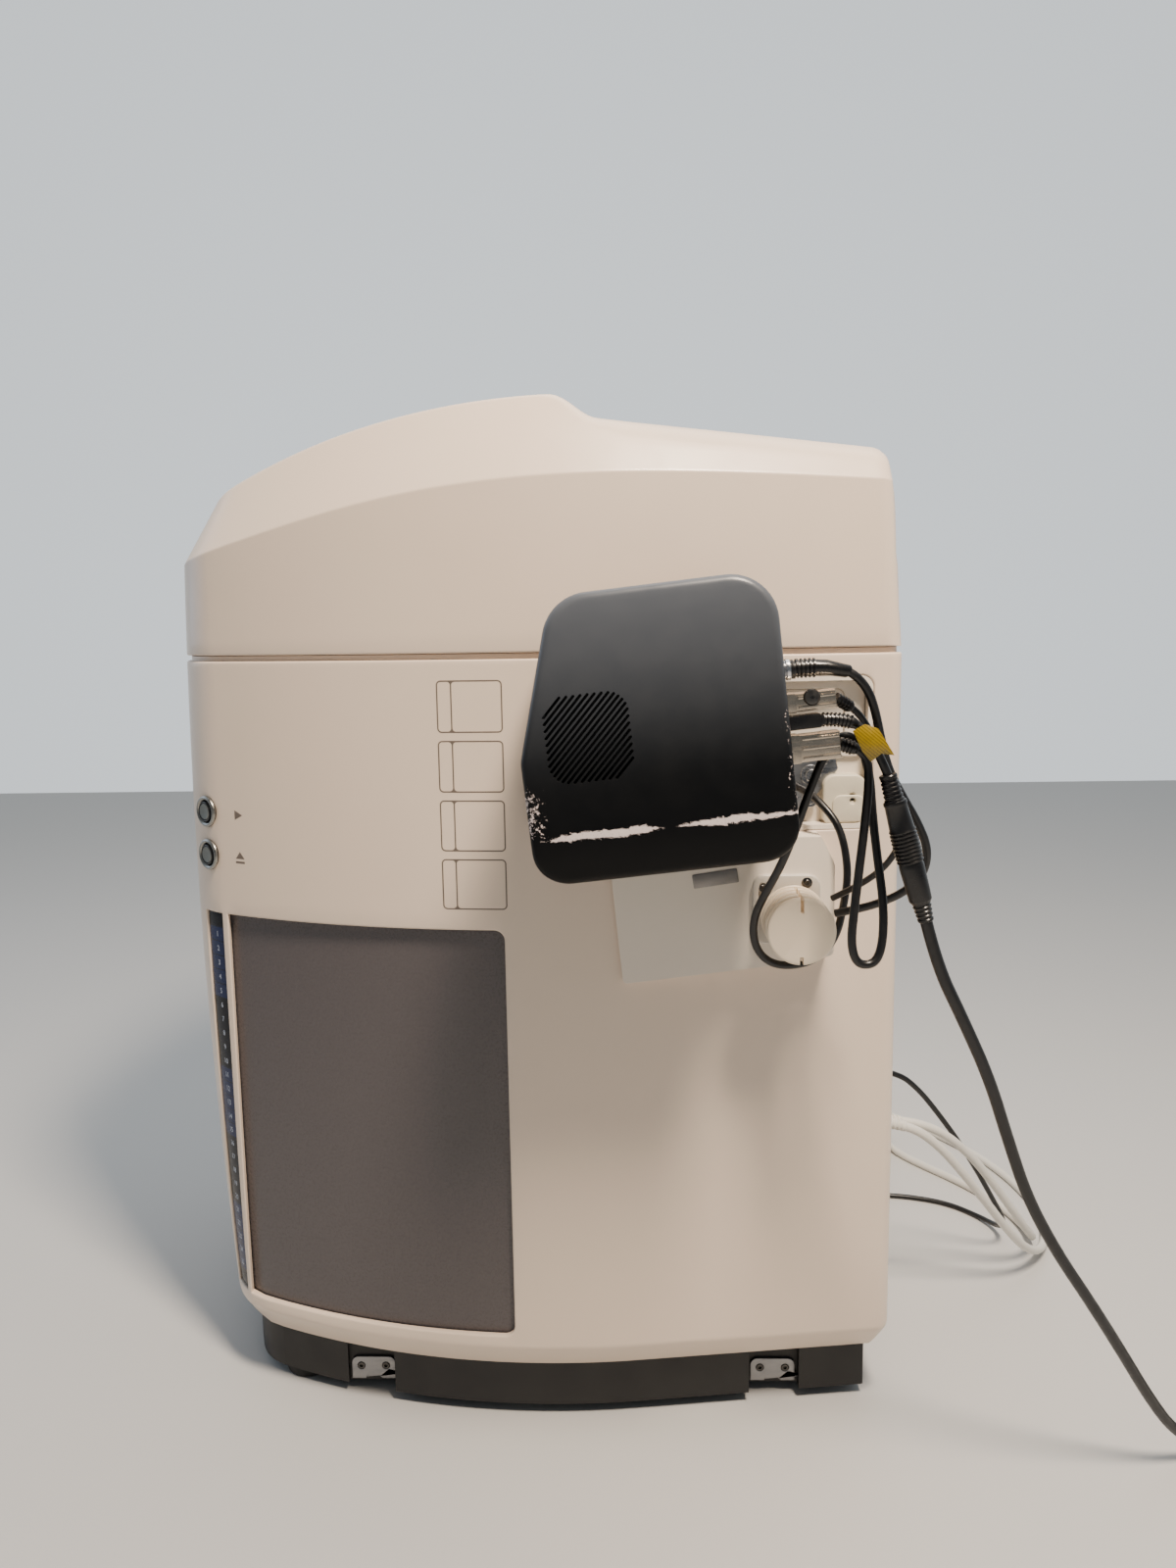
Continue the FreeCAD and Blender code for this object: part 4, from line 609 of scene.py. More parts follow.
def smooth_plastic(name, colour, roughness):
    """Smooth satin sheet: an even tone with the faintest ripple."""
    finish = Finish(name, colour, roughness)
    finish.tint(finish.math("MULTIPLY", finish.noise(160, 1), 0.05), tuple(value * 1.2 for value in colour))
    finish.vary_roughness(finish.noise(2, 2), 0.02)
    finish.bump(finish.noise(0.5, 2, 0.5), 0.0015)
    return finish.material


def metal(name, colour, roughness, stretch=(1, 1, 1)):
    """Machined or drawn metal: fine lines along one axis, slightly tarnished."""
    finish = Finish(name, colour, roughness, metallic=1.0)
    finish.tint(finish.ranged(finish.noise(14, 5, 0.6), 0.45, 0.8, 0, 0.25),
                tuple(value * 0.72 for value in colour))
    finish.vary_roughness(finish.noise(3, 4, stretch=stretch), 0.1)
    finish.bump(finish.noise(0.35, 2, stretch=stretch), 0.003)
    return finish.material


def jacket(name, colour, roughness, lift):
    """Cable jacket: soft plastic with a faint twist and handling marks."""
    finish = Finish(name, colour, roughness)
    finish.tint(finish.ranged(finish.noise(11, 5, 0.7), 0.55, 0.85, 0, 0.16), lift)
    finish.vary_roughness(finish.noise(6, 4), 0.09)
    finish.bump(finish.noise(0.8, 3), 0.012)
    return finish.material


PAINT = satin_paint("casing_paint", (228, 210, 192), 0.34)
PANEL = smooth_plastic("panel_grey", (82, 77, 79), 0.28)
PLATE = satin_paint("plate_paint", (232, 222, 208), 0.42)
BLACK = moulded("black_plastic", (14, 14, 16), 0.4, lift=(50, 50, 52))
INNER_BLACK = moulded("inner_black", (17, 17, 19), 0.55, 0.8, 0.015)
BASE_BLACK = satin_paint("base_black", (18, 18, 20), 0.5, (40, 40, 42), 0.0)
RUBBER = moulded("rubber", (26, 26, 27), 0.75, 0.9, 0.03, (70, 70, 70))
STEEL = metal("bare_steel", (176, 178, 182), 0.28, (1, 1, 6))
BRIGHT = metal("bright_metal", (198, 199, 202), 0.2)
BRUSHED = metal("brushed_metal", (164, 166, 170), 0.34, (1, 0.15, 1))
ALUMINIUM = metal("machined_aluminium", (184, 186, 190), 0.36, (0.12, 1, 1))
TRAY = moulded("tray_grey", (112, 116, 122), 0.45)
CREAM = satin_paint("cream_enamel", (238, 222, 198), 0.34)
BEIGE = moulded("beige_plastic", (208, 200, 180), 0.42, 0.6, 0.01, (160, 150, 130))
JACKET_BLACK = jacket("jacket_black", (13, 13, 15), 0.36, (50, 50, 52))
JACKET_WHITE = jacket("jacket_white", (214, 212, 205), 0.46, (150, 148, 140))
BEZEL = metal("bezel_metal", (150, 149, 144), 0.34)
CAP_METAL = metal("button_metal", (128, 130, 126), 0.42)
HOOD_METAL = metal("hood_metal", (204, 190, 172), 0.24, (1, 0.2, 1))
DARK_METAL = metal("dark_metal", (92, 90, 88), 0.34)
BLANK_GREY = metal("blank_plate_metal", (134, 131, 128), 0.42, (1, 0.2, 1))
BRACKET_STEEL = metal("bracket_steel", (150, 151, 154), 0.42, (1, 0.2, 1))
FLANGE_GREY = satin_paint("flange_enamel", (200, 194, 184), 0.4)
GLOSS_BLACK = moulded("moulded_black", (11, 11, 13), 0.3, 0.6, 0.006, (40, 40, 42))
PALE_INK = moulded("pale_ink", (196, 204, 220), 0.5, 0.6, 0.004, (160, 170, 190))
GREY_INK = moulded("grey_ink", (104, 94, 86), 0.5, 0.6, 0.004, (84, 78, 72))


def black_shell():
    """Satin black cover of the camera module, with a painted sheen: its colour paler towards its top."""
    finish = Finish("module_black", (9, 10, 12), 0.36)
    b = finish.coordinate((0, MODULE_AT, MODULE_LEVEL), MODULE_TILT)["Z"]
    # Painted reflection: the base colour lightens towards the module's top, standing in for the light's sheen.
    finish.tint(finish.ranged(b, -30, 95, 0, 0.95), (88, 93, 101))
    finish.vary_roughness(finish.noise(16, 4), 0.07)
    feed(finish.shader, {"Specular IOR Level": finish.ranged(b, -60, 40, 0.12, 0.5)})
    finish.bump(finish.noise(1.4, 2, 0.4), 0.01)
    return finish


SHELL = black_shell()
MODULE_BLACK = SHELL.material


# ---- The casing's skin: a sheet coordinate runs round the plan from the middle of the front ----
CORNER_FROM_X = 131.0      # the corner stretch starts here on the front ...
CORNER_TO_Y = -201.0       # ... and ends here on the side
REAR_FROM_Y = 240.0        # the rear corner's stretch starts here on the side ...
REAR_TO_X = 170.0          # ... and ends here on the rear wall
CHAMFER_SOFT = 2.5
SIDE_CENTRE = Vector((HALF_WIDTH - SIDE_RADIUS, WIDEST_AT))
OUTWARD = Vector((math.cos(TAPER), math.sin(TAPER)))
BACKWARD = Vector((-OUTWARD.y, OUTWARD.x))


def bulge(level):
    """How far the front stands back from its foremost line at a level."""
    return (max(level, CHAMFER_TOP) - BULGE_LEVEL) ** 2 / (2 * BULGE_RADIUS)


def corner_centre(shift=0.0):
    """Centre of the front corner arc, tangent to the front arc and to the side arc."""
    front = Vector((0, FRONT_RADIUS - FRONT_REACH + shift))
    to_front = FRONT_RADIUS - CORNER_RADIUS
    to_side = SIDE_RADIUS - CORNER_RADIUS
    apart = (SIDE_CENTRE - front).length
    along = (to_front ** 2 - to_side ** 2 + apart ** 2) / (2 * apart)
    across = math.sqrt(to_front ** 2 - along ** 2)
    axis = (SIDE_CENTRE - front).normalized()
    return front + axis * along + Vector((-axis.y, axis.x)) * across


def chamfer(level):
    """How far the bottom chamfer sets the skin in, with a soft start."""
    below = CHAMFER_TOP - level
    if below < -CHAMFER_SOFT:
        return 0.0
    slope = CHAMFER_INSET / (CHAMFER_TOP - CASING_BOTTOM)
    return slope * (below if below > CHAMFER_SOFT else (below + CHAMFER_SOFT) ** 2 / (4 * CHAMFER_SOFT))


def arc_run(centre, radius, start, end):
    """A stretch of the plan: its length, and its point at a distance from its start."""
    def point(along):
        angle = start + along / radius
        return centre + Vector((math.cos(angle), math.sin(angle))) * radius
    return radius * (end - start), point


def line_run(start, end):
    heading = (end - start).normalized()
    return (end - start).length, lambda along: start + heading * along


def along_runs(runs, share):
    """The point at a share of the whole length of several stretches."""
    left = share * sum(run[0] for run in runs)
    for length, point in runs[:-1]:
        if left <= length:
            return point(left)
        left -= length
    return runs[-1][1](left)


SKIN_CACHE = {}


def corner_runs(level, depth):
    key = ("corner", round(level, 3), round(depth, 3))
    if key not in SKIN_CACHE:
        shift = bulge(level)
        front = Vector((0, FRONT_RADIUS - FRONT_REACH + shift))
        centre = corner_centre(shift)
        to_corner = centre - front
        to_side = centre - SIDE_CENTRE
        start = math.atan2(to_corner.y, to_corner.x)
        turn = math.atan2(to_side.y, to_side.x)
        first = -math.acos(CORNER_FROM_X / (FRONT_RADIUS - depth))
        runs = [arc_run(front, FRONT_RADIUS - depth, first, start)]
        last = math.asin((CORNER_TO_Y - WIDEST_AT) / (SIDE_RADIUS - depth))
        if last > turn:
            runs.append(arc_run(centre, CORNER_RADIUS - depth, start, turn))
            runs.append(arc_run(SIDE_CENTRE, SIDE_RADIUS - depth, turn, last))
        else:
            stop = math.asin((CORNER_TO_Y - centre.y) / (CORNER_RADIUS - depth))
            runs.append(arc_run(centre, CORNER_RADIUS - depth, start, stop))
        SKIN_CACHE[key] = runs
    return SKIN_CACHE[key]


def side_point(y, level, depth):
    """Plan point of the side at a given Y."""
    end = SIDE_CENTRE + OUTWARD * (SIDE_RADIUS - depth)
    if y > end.y:
        return Vector((end.x - (y - end.y) * math.tan(TAPER), y))
    flat = math.sqrt((SIDE_RADIUS - depth) ** 2 - (y - WIDEST_AT) ** 2) + SIDE_CENTRE.x
    centre = corner_centre(bulge(level))
    to_side = (centre - SIDE_CENTRE).normalized()
    if y < (centre + to_side * (CORNER_RADIUS - depth)).y:
        return Vector((centre.x + math.sqrt((CORNER_RADIUS - depth) ** 2 - (y - centre.y) ** 2), y))
    return Vector((flat, y))


def rear_runs(depth):
    key = ("rear", round(depth, 3))
    if key not in SKIN_CACHE:
        radius = max(REAR_CORNER - depth, 1.0)
        inner = SIDE_CENTRE + OUTWARD * (SIDE_RADIUS - depth - radius)
        centre = inner + BACKWARD * ((REAR_REACH - depth - radius - inner.y) / BACKWARD.y)
        start = side_point(REAR_FROM_Y, BULGE_LEVEL, depth)
        stop = centre + Vector((0, radius))
        SKIN_CACHE[key] = [line_run(start, centre + OUTWARD * radius),
                           arc_run(centre, radius, TAPER, math.pi / 2),
                           line_run(stop, Vector((REAR_TO_X, stop.y)))]
    return SKIN_CACHE[key]


CORNER_LONG = sum(run[0] for run in corner_runs(BULGE_LEVEL, 0))
SIDE_AT = CORNER_FROM_X + CORNER_LONG
REAR_AT = SIDE_AT + REAR_FROM_Y - CORNER_TO_Y
REAR_LONG = sum(run[0] for run in rear_runs(0))
BACK_AT = REAR_AT + REAR_LONG


def skin_point(along, level, depth):
    """Space point of the skin: along is the sheet coordinate, depth goes inwards."""
    side = -1 if along < 0 else 1
    along = abs(along)
    depth += chamfer(level)
    if along <= CORNER_FROM_X:
        centre = FRONT_RADIUS - FRONT_REACH + bulge(level)
        plan = Vector((along, centre - math.sqrt((FRONT_RADIUS - depth) ** 2 - along ** 2)))
    elif along <= SIDE_AT:
        plan = along_runs(corner_runs(level, depth), (along - CORNER_FROM_X) / CORNER_LONG)
    elif along <= REAR_AT:
        plan = side_point(CORNER_TO_Y + along - SIDE_AT, level, depth)
    elif along <= BACK_AT:
        plan = along_runs(rear_runs(depth), (along - REAR_AT) / REAR_LONG)
    else:
        plan = Vector((REAR_TO_X - (along - BACK_AT), REAR_REACH - depth))
    return Vector((side * plan.x, plan.y, level))


def at_y(y):
    return SIDE_AT + y - CORNER_TO_Y


def at_back(x):
    return BACK_AT + REAR_TO_X - x


HALVINGS = 30


def at_corner(degrees, level, centre=None):
    """Sheet coordinate where the skin crosses an upright plane through the corner's centre."""
    centre = centre or corner_centre()
    angle = math.radians(degrees)
    across = Vector((math.sin(angle), math.cos(angle)))
    low, high = CORNER_FROM_X, SIDE_AT
    for _ in range(HALVINGS):
        middle = (low + high) / 2
        point = skin_point(middle, level, 0)
        if (Vector((point.x, point.y)) - centre).dot(across) < 0:
            low = middle
        else:
            high = middle
    return low


LEVEL_PITCH, EDGE_CLEAR = 16, 0.5


def slice_flat(bm, low, high, pitches):
    """Cut a flat drawn sheet so that it can bend smoothly: pitches are (from, to, pitch) along it."""
    for start, end, pitch in pitches:
        steps = max(1, round((end - start) / pitch))
        for step in range(steps + 1):
            at = start + (end - start) * step / steps
            if low[0] + EDGE_CLEAR < at < high[0] - EDGE_CLEAR:
                cut(bm, (at, 0, 0), X)
    levels = [CASING_BOTTOM + 8, CHAMFER_TOP - 3, CHAMFER_TOP - 1.5, CHAMFER_TOP, CHAMFER_TOP + 1.5]
    rung = CHAMFER_TOP + 3
    while rung < high[1]:
        levels.append(rung)
        rung += LEVEL_PITCH
    for level in levels:
        if low[1] + EDGE_CLEAR < level < high[1] - EDGE_CLEAR:
            cut(bm, (0, level, 0), Y)


# Pitches of the cuts: fine where the plan turns, coarse on the long stretches
FRONT_PITCH = [(-CORNER_FROM_X, CORNER_FROM_X, 9)]
FLANK_PITCH = [(CORNER_FROM_X, SIDE_AT, 2.6), (SIDE_AT, REAR_AT, 11), (REAR_AT, BACK_AT, 1.2),
               (BACK_AT, BACK_AT + 60, 12)]


def skin_sheet(outer, holes, depth, thick, pitches, lip, field=(), side=1):
    """A plate that follows the casing's skin, drawn flat and then bent."""
    bm = bmesh.new()
    if field:
        add_field(bm, outer, field, thick, lip)
    else:
        add_sheet(bm, outer, holes, as_drawn, thick, lip)
    low = [min(point[axis] for point in outer) for axis in (0, 1)]
    high = [max(point[axis] for point in outer) for axis in (0, 1)]
    slice_flat(bm, low, high, pitches)
    for vert in bm.verts:
        vert.co = skin_point(vert.co.x, vert.co.y, depth + vert.co.z)
        vert.co.x *= side
    return settle(bm)


def add_field(bm, outer, field, thick, lip):
    """Add a plate whose face has a sunk field: field is (inset, depth) from the field outwards."""
    loops = [(offset_loop(outer, inset), depth) for inset, depth in field]
    loops += [*lip_loops(outer, lip, 4), (outer, thick)]
    rings = [[bm.verts.new((a, b, depth)) for a, b in loop] for loop, depth in loops]
    join_all(bm, rings)
    bm.faces.new(rings[0])
    bm.faces.new(list(reversed(rings[-1])))


# ---- Casing: side covers, front frame, door, rear wall, side panels ----
SIDE_NAMES = {1: "right", -1: "left"}
COVER_FROM = FRONT_HALF + COVER_GAP / 2
COVER_TO = at_back(REAR_HALF + COVER_GAP / 2)
PANEL_HOLE = rectangle(at_y(PANEL_FRONT), OPENING_BOTTOM, at_y(PANEL_REAR), OPENING_TOP,
                       [0.4, PANEL_ROUND, PANEL_ROUND, 0.4])


STRIP_STEPS = 16


def strip_loop(margin, inset):
    """Outline of the number strip, or of its hole, on the front corner."""
    near, far = STRIP_NEAR + margin, STRIP_FAR - margin
    low, high = OPENING_BOTTOM + inset, OPENING_TOP - inset
    levels = [low + (high - low) * step / STRIP_STEPS for step in range(STRIP_STEPS + 1)]
    loop = [(at_corner(far, low), low)]
    loop += [(at_corner(near, level), level) for level in levels]
    loop += [(at_corner(far, level), level) for level in reversed(levels[1:])]
    return loop


def button_place(level):
    centre = corner_centre(bulge(level))
    return at_corner(BUTTON_ANGLE, level, centre)


def side_cover(side):
    holes = [PANEL_HOLE]
    if side > 0:
        holes.append(strip_loop(0, 0))
        holes.append(rectangle(at_y(BAY_FRONT), BAY_BOTTOM, at_y(BAY_REAR), BAY_TOP, BAY_ROUND))
        holes.append(circle((at_y(MODULE_AT), NECK_LEVEL), NECK_RADIUS + 1))
        holes.append(circle((at_y(LAMP_AT), LAMP_LEVEL), LAMP_DISC - 5))
        holes += [circle((button_place(level), level), BEZEL_HOLE) for level in (START_LEVEL, OPEN_LEVEL)]
    outer = rectangle(COVER_FROM, CASING_BOTTOM, COVER_TO, CASING_TOP, 0.6, 2)
    bm = skin_sheet(outer, holes, 0, WALL, FLANK_PITCH, lip=1.3, side=side)
    name = f"side_cover_{SIDE_NAMES[side]}"
    piece(f"{name}_skin", bm, PAINT, "casing_white", stands_for=(name,))


def side_panel(side):
    outer = rectangle(at_y(PANEL_FRONT) - PANEL_LAP, OPENING_BOTTOM - PANEL_LAP, at_y(PANEL_REAR) + PANEL_LAP,
                      OPENING_TOP + PANEL_LAP, PANEL_ROUND)
    bm = skin_sheet(outer, [], PANEL_INSET, PANEL_THICK, FLANK_PITCH, lip=0.7, side=side)
    name = f"side_panel_{SIDE_NAMES[side]}"
    piece(f"{name}_skin", bm, PANEL, "panel_grey", stands_for=(name,))


DOOR_AXIS_X, DOOR_AXIS_DEPTH = 7 - DOOR_HALF, 3.6
DOOR_PIN, DOOR_PIN_LONG, DOOR_LUG, DOOR_EAR = 2, 11, 6, 9.6
DOOR_BORE, DOOR_BARREL = 2.05, 3.4


def door_axis_point(level):
    surface = FRONT_RADIUS - FRONT_REACH - math.sqrt(FRONT_RADIUS ** 2 - DOOR_AXIS_X ** 2)
    low, high = surface + bulge(OPENING_BOTTOM), surface + bulge(OPENING_TOP)
    share = (level - OPENING_BOTTOM) / (OPENING_TOP - OPENING_BOTTOM)
    return Vector((DOOR_AXIS_X, low + (high - low) * share + DOOR_AXIS_DEPTH, level))


def front_frame():
    outer = rectangle(-COVER_FROM + COVER_GAP, CASING_BOTTOM, COVER_FROM - COVER_GAP, CASING_TOP, 0.6, 2)
    hole = rectangle(-DOOR_HALF, OPENING_BOTTOM, DOOR_HALF, OPENING_TOP, 0.4, 2)
    bm = skin_sheet(outer, [hole], 0, WALL, FRONT_PITCH, lip=1.2)
    axis = door_axis_point(OPENING_TOP) - door_axis_point(OPENING_BOTTOM)
    for level in (OPENING_BOTTOM - 3, OPENING_TOP - 8):
        add_turned(bm, [(0, DOOR_PIN), (DOOR_PIN_LONG, DOOR_PIN)], door_axis_point(level), axis, 24)
    for level in (OPENING_BOTTOM - DOOR_LUG, OPENING_TOP):
        middle = door_axis_point(level + DOOR_LUG / 2)
        add_block(bm, (middle.x - DOOR_LUG, middle.y - 1.2, level),
                  (middle.x + DOOR_LUG, middle.y + 8, level + DOOR_LUG), 0.4)
    piece("front_frame_skin", bm, PAINT, "casing_white", stands_for=("front_frame",))


def front_door():
    outer = rectangle(DOOR_AXIS_X, OPENING_BOTTOM + DOOR_GAP, DOOR_HALF - DOOR_GAP, OPENING_TOP - DOOR_GAP,
                      [0.5, 3, 3, 0.5], 5)
    bm = skin_sheet(outer, [], 0, DOOR_THICK, FRONT_PITCH, lip=1.2,
                    field=((13, 0.5), (12.2, 0.42), (11.2, 0.06), (10.4, 0)))
    low, high = OPENING_BOTTOM + DOOR_GAP, OPENING_TOP - DOOR_GAP
    start = door_axis_point(low)
    run = door_axis_point(high) - start
    add_turned(bm, [(DOOR_EAR, DOOR_BORE), (DOOR_EAR, DOOR_BORE), (0, DOOR_BORE), (0, DOOR_BARREL - 0.3),
                    (0.3, DOOR_BARREL), (run.length - 0.3, DOOR_BARREL), (run.length, DOOR_BARREL - 0.3),
                    (run.length, DOOR_BORE), (run.length - DOOR_EAR, DOOR_BORE)], start, run, 24)
    piece("front_door_skin", bm, PAINT, "casing_white", body="front_door", stands_for=("front_door",))


def rear_wall():
    half = REAR_HALF - COVER_GAP / 2
    outer = rectangle(-half, CASING_BOTTOM, half, CASING_TOP, 0.6, 2)
    bm = bmesh.new()
    add_sheet(bm, outer, [circle((FAN_X, FAN_LEVEL), FAN_WINDOW, 64)], as_drawn, WALL, 1.2)
    slice_flat(bm, (-REAR_HALF, CASING_BOTTOM), (REAR_HALF, CASING_TOP), [(-REAR_HALF, REAR_HALF, 30)])
    for vert in bm.verts:
        vert.co = Vector((vert.co.x, REAR_REACH - vert.co.z - chamfer(vert.co.y), vert.co.y))
    piece("rear_wall_skin", settle(bm), PAINT, "casing_white", stands_for=("rear_panel",))


for which_side in (1, -1):
    side_cover(which_side)
    side_panel(which_side)
front_frame()
front_door()
rear_wall()


# ---- Hood: wall, bevel, roof and rear as surfaces, their meeting edges rounded ----
HOOD_BOTTOM = CASING_TOP + 4
HOOD_LEAN, HOOD_LEAN_RISE, HOOD_WALL = 8.7, 126, 4
BEVEL_SLOPE, ROOF_SLANT = 34 / 56, 0.97
CROWN, CROWN_HALF = 8, 186
CREASE = [(-258.6, 590), (-172, 611), (-70, 633.2), (84, 645.4), (247, 640.1)]
NOSE = [(-180, 650.5), (-72, 685.5), (29, 698)]
STEP_FROM, STEP_TO = 30.5, 62.5
DECK_FROM, DECK_LEVEL, DECK_SLOPE = 65, 682, -0.115
ROOF_EDGES = [(-250, 4.5), (-190, 3.2), (-120, 1.7), (25, 1.7), (85, 10.5), (262, 10.5)]
CREASE_ROUND, REAR_ROUND = 0.45, 10


def smooth_curve(points):
    """A natural cubic curve through a few points, as a function of arrays."""
    xs = np.array([point[0] for point in points], float)
    ys = np.array([point[1] for point in points], float)
    steps = np.diff(xs)
    slopes = np.diff(ys) / steps
    count = len(xs)
    system = np.eye(count)
    right = np.zeros(count)
    for i in range(1, count - 1):
        system[i, i - 1:i + 2] = steps[i - 1], 2 * (steps[i - 1] + steps[i]), steps[i]
        right[i] = 6 * (slopes[i] - slopes[i - 1])
    bends = np.linalg.solve(system, right)

    def value(x):
        x = np.clip(x, xs[0], xs[-1])
        i = np.clip(np.searchsorted(xs, x) - 1, 0, count - 2)
        a, b = xs[i + 1] - x, x - xs[i]
        h = steps[i]
        return ((bends[i] * a ** 3 + bends[i + 1] * b ** 3) / (6 * h)
                + (ys[i] / h - bends[i] * h / 6) * a + (ys[i + 1] / h - bends[i + 1] * h / 6) * b)
    return value


crease_level = smooth_curve(CREASE)


def circle_through(one, two, three):
    """Centre and radius of the circle through three points."""
    (ax, ay), (bx, by), (cx, cy) = one, two, three
    a, b, c = ax ** 2 + ay ** 2, bx ** 2 + by ** 2, cx ** 2 + cy ** 2
    double = 2 * (ax * (by - cy) + bx * (cy - ay) + cx * (ay - by))
    x = (a * (by - cy) + b * (cy - ay) + c * (ay - by)) / double
    y = (a * (cx - bx) + b * (ax - cx) + c * (bx - ax)) / double
    return x, y, math.hypot(ax - x, ay - y)


NOSE_Y, NOSE_Z, NOSE_RADIUS = circle_through(*NOSE)


def roof_level(x, y):
    """Height of the roof: a rising front arc, a smooth step down, and a sloping rear deck."""
    start = NOSE[0][0]
    arc_y = np.maximum(y, start)
    nose = NOSE_Z + np.sqrt(np.maximum(NOSE_RADIUS ** 2 - (arc_y - NOSE_Y) ** 2, 1))
    lead_slope = (NOSE_Y - start) / math.sqrt(NOSE_RADIUS ** 2 - (start - NOSE_Y) ** 2)
    nose = nose + np.minimum(y - start, 0) * lead_slope
    deck = DECK_LEVEL + DECK_SLOPE * (y - DECK_FROM)
    share = np.clip((y - STEP_FROM) / (STEP_TO - STEP_FROM), 0, 1)
    drop = 0.5 - 0.5 * np.cos(math.pi * share)
    return nose + (deck - nose) * drop + CROWN * (1 - (x / CROWN_HALF) ** 2)


def plan_distance(x, y, z):
    """Signed distance outside the casing's plan at each level, the rear left open."""
    x = np.abs(x)
    shift = (z - BULGE_LEVEL) ** 2 / (2 * BULGE_RADIUS)
    front_y = FRONT_RADIUS - FRONT_REACH + shift
    dx, dy = SIDE_CENTRE.x, SIDE_CENTRE.y - front_y
    apart = np.hypot(dx, dy)
    to_front, to_side = FRONT_RADIUS - CORNER_RADIUS, SIDE_RADIUS - CORNER_RADIUS
    along = (to_front ** 2 - to_side ** 2 + apart ** 2) / (2 * apart)
    across = np.sqrt(to_front ** 2 - along ** 2)
    ax, ay = dx / apart, dy / apart
    cx = ax * along - ay * across
    cy = front_y + ay * along + ax * across
    angle = np.arctan2(y - cy, x - cx)
    start = np.arctan2(cy - front_y, cx)
    turn = np.arctan2(cy - SIDE_CENTRE.y, cx - SIDE_CENTRE.x)
    front = np.hypot(x, y - front_y) - FRONT_RADIUS
    corner = np.hypot(x - cx, y - cy) - CORNER_RADIUS
    flank = np.hypot(x - SIDE_CENTRE.x, y - SIDE_CENTRE.y) - SIDE_RADIUS
    end_x = SIDE_CENTRE.x + OUTWARD.x * SIDE_RADIUS
    end_y = SIDE_CENTRE.y + OUTWARD.y * SIDE_RADIUS
    taper = (x - end_x) * OUTWARD.x + (y - end_y) * OUTWARD.y
    on_taper = (x - SIDE_CENTRE.x) * -OUTWARD.y + (y - SIDE_CENTRE.y) * OUTWARD.x > 0
    side = np.where(on_taper, taper, flank)
    at_front = (angle < start) & (y < 0)
    return np.where(at_front, front, np.where((angle < turn) & (y < cy + 30), corner, side))


def rounded_max(one, two, radius):
    deep = np.minimum(np.maximum(one, two), -radius)
    return deep + np.hypot(np.maximum(one + radius, 0), np.maximum(two + radius, 0))


def hood_surfaces(x, y, z):
    wall = plan_distance(x, y, z)
    rise = z - crease_level(y)
    bevel = (rise * BEVEL_SLOPE + wall) / math.hypot(1, BEVEL_SLOPE)
    lean = HOOD_LEAN * np.clip((z - HOOD_BOTTOM) / HOOD_LEAN_RISE, 0, 1.1)
    rear = y - (REAR_REACH - lean)
    roof = (z - roof_level(x, y)) * ROOF_SLANT
    return wall, bevel, rear, roof


def hood_sharp(x, y, z):
    wall, bevel, rear, roof = hood_surfaces(x, y, z)
    return np.maximum(np.maximum(wall, bevel), rear), roof


def hood_round(x, y, z):
    wall, bevel, rear, roof = hood_surfaces(x, y, z)
    side = rounded_max(rounded_max(wall, bevel, CREASE_ROUND), rear, REAR_ROUND)
    edge = np.interp(y, [p[0] for p in ROOF_EDGES], [p[1] for p in ROOF_EDGES])
    return rounded_max(side, roof, edge)


BISECT_ROUNDS = 34


def bisect(function, low, high):
    """Where an increasing function of an array crosses nought."""
    for _ in range(BISECT_ROUNDS):
        middle = (low + high) / 2
        outside = function(middle) > 0
        high = np.where(outside, middle, high)
        low = np.where(outside, low, middle)
    return (low + high) / 2


def hood_columns():
    """Sheet coordinates of the hood's columns, closer together where it turns."""
    stretches = [(0, CORNER_FROM_X, 15), (CORNER_FROM_X, SIDE_AT, 24), (SIDE_AT, at_y(20), 28),
                 (at_y(20), at_y(80), 24), (at_y(80), REAR_AT - 20, 18), (REAR_AT - 20, BACK_AT, 18),
                 (BACK_AT, BACK_AT + REAR_TO_X, 20)]
    columns = []
    for start, end, steps in stretches:
        columns += [start + (end - start) * step / steps for step in range(steps)]
    return columns + [BACK_AT + REAR_TO_X]


# Rows of the hood's grid, from its lip to its crown: rises and insets of the lip, then shares of the
# wall and of the bevel, steps about the crease, drops below the roof's edge and steps in from it
LIP_ROWS = ((0, 1.2), (0.1, 0.8), (0.35, 0.35), (0.8, 0.1), (1.3, 0))
WALL_SHARES, WALL_ENDS = (0.12, 0.3, 0.5, 0.7, 0.86, 0.95), 2.5
CREASE_STEPS = (-2.2, -1.5, -0.9, -0.45, 0, 0.45, 0.9, 1.5, 2.4)
BEVEL_SHARES, BEVEL_STARTS = (0.1, 0.35, 0.6, 0.85, 1), 3.5
EDGE_DROPS, EDGE_BAND = (8, 6.8, 5.6, 4.6, 3.7, 2.9, 2.2, 1.6, 1.1, 0.7, 0.35, 0), 9
ROOF_STEPS, ROOF_BAND = (0.4, 0.9, 1.5, 2.3, 3.3, 4.5, 6, 8, 10.5, 13.5, 17, 21), 21
ROOF_SHARES = (0.06, 0.14, 0.24, 0.36, 0.5, 0.64, 0.78, 0.9, 1)
CROWN_FROM, CROWN_TO, OUTERMOST, TOPMOST, OUT_BY, IN_BY = -150, 225, -6.0, 712.0, -0.2, 16.0


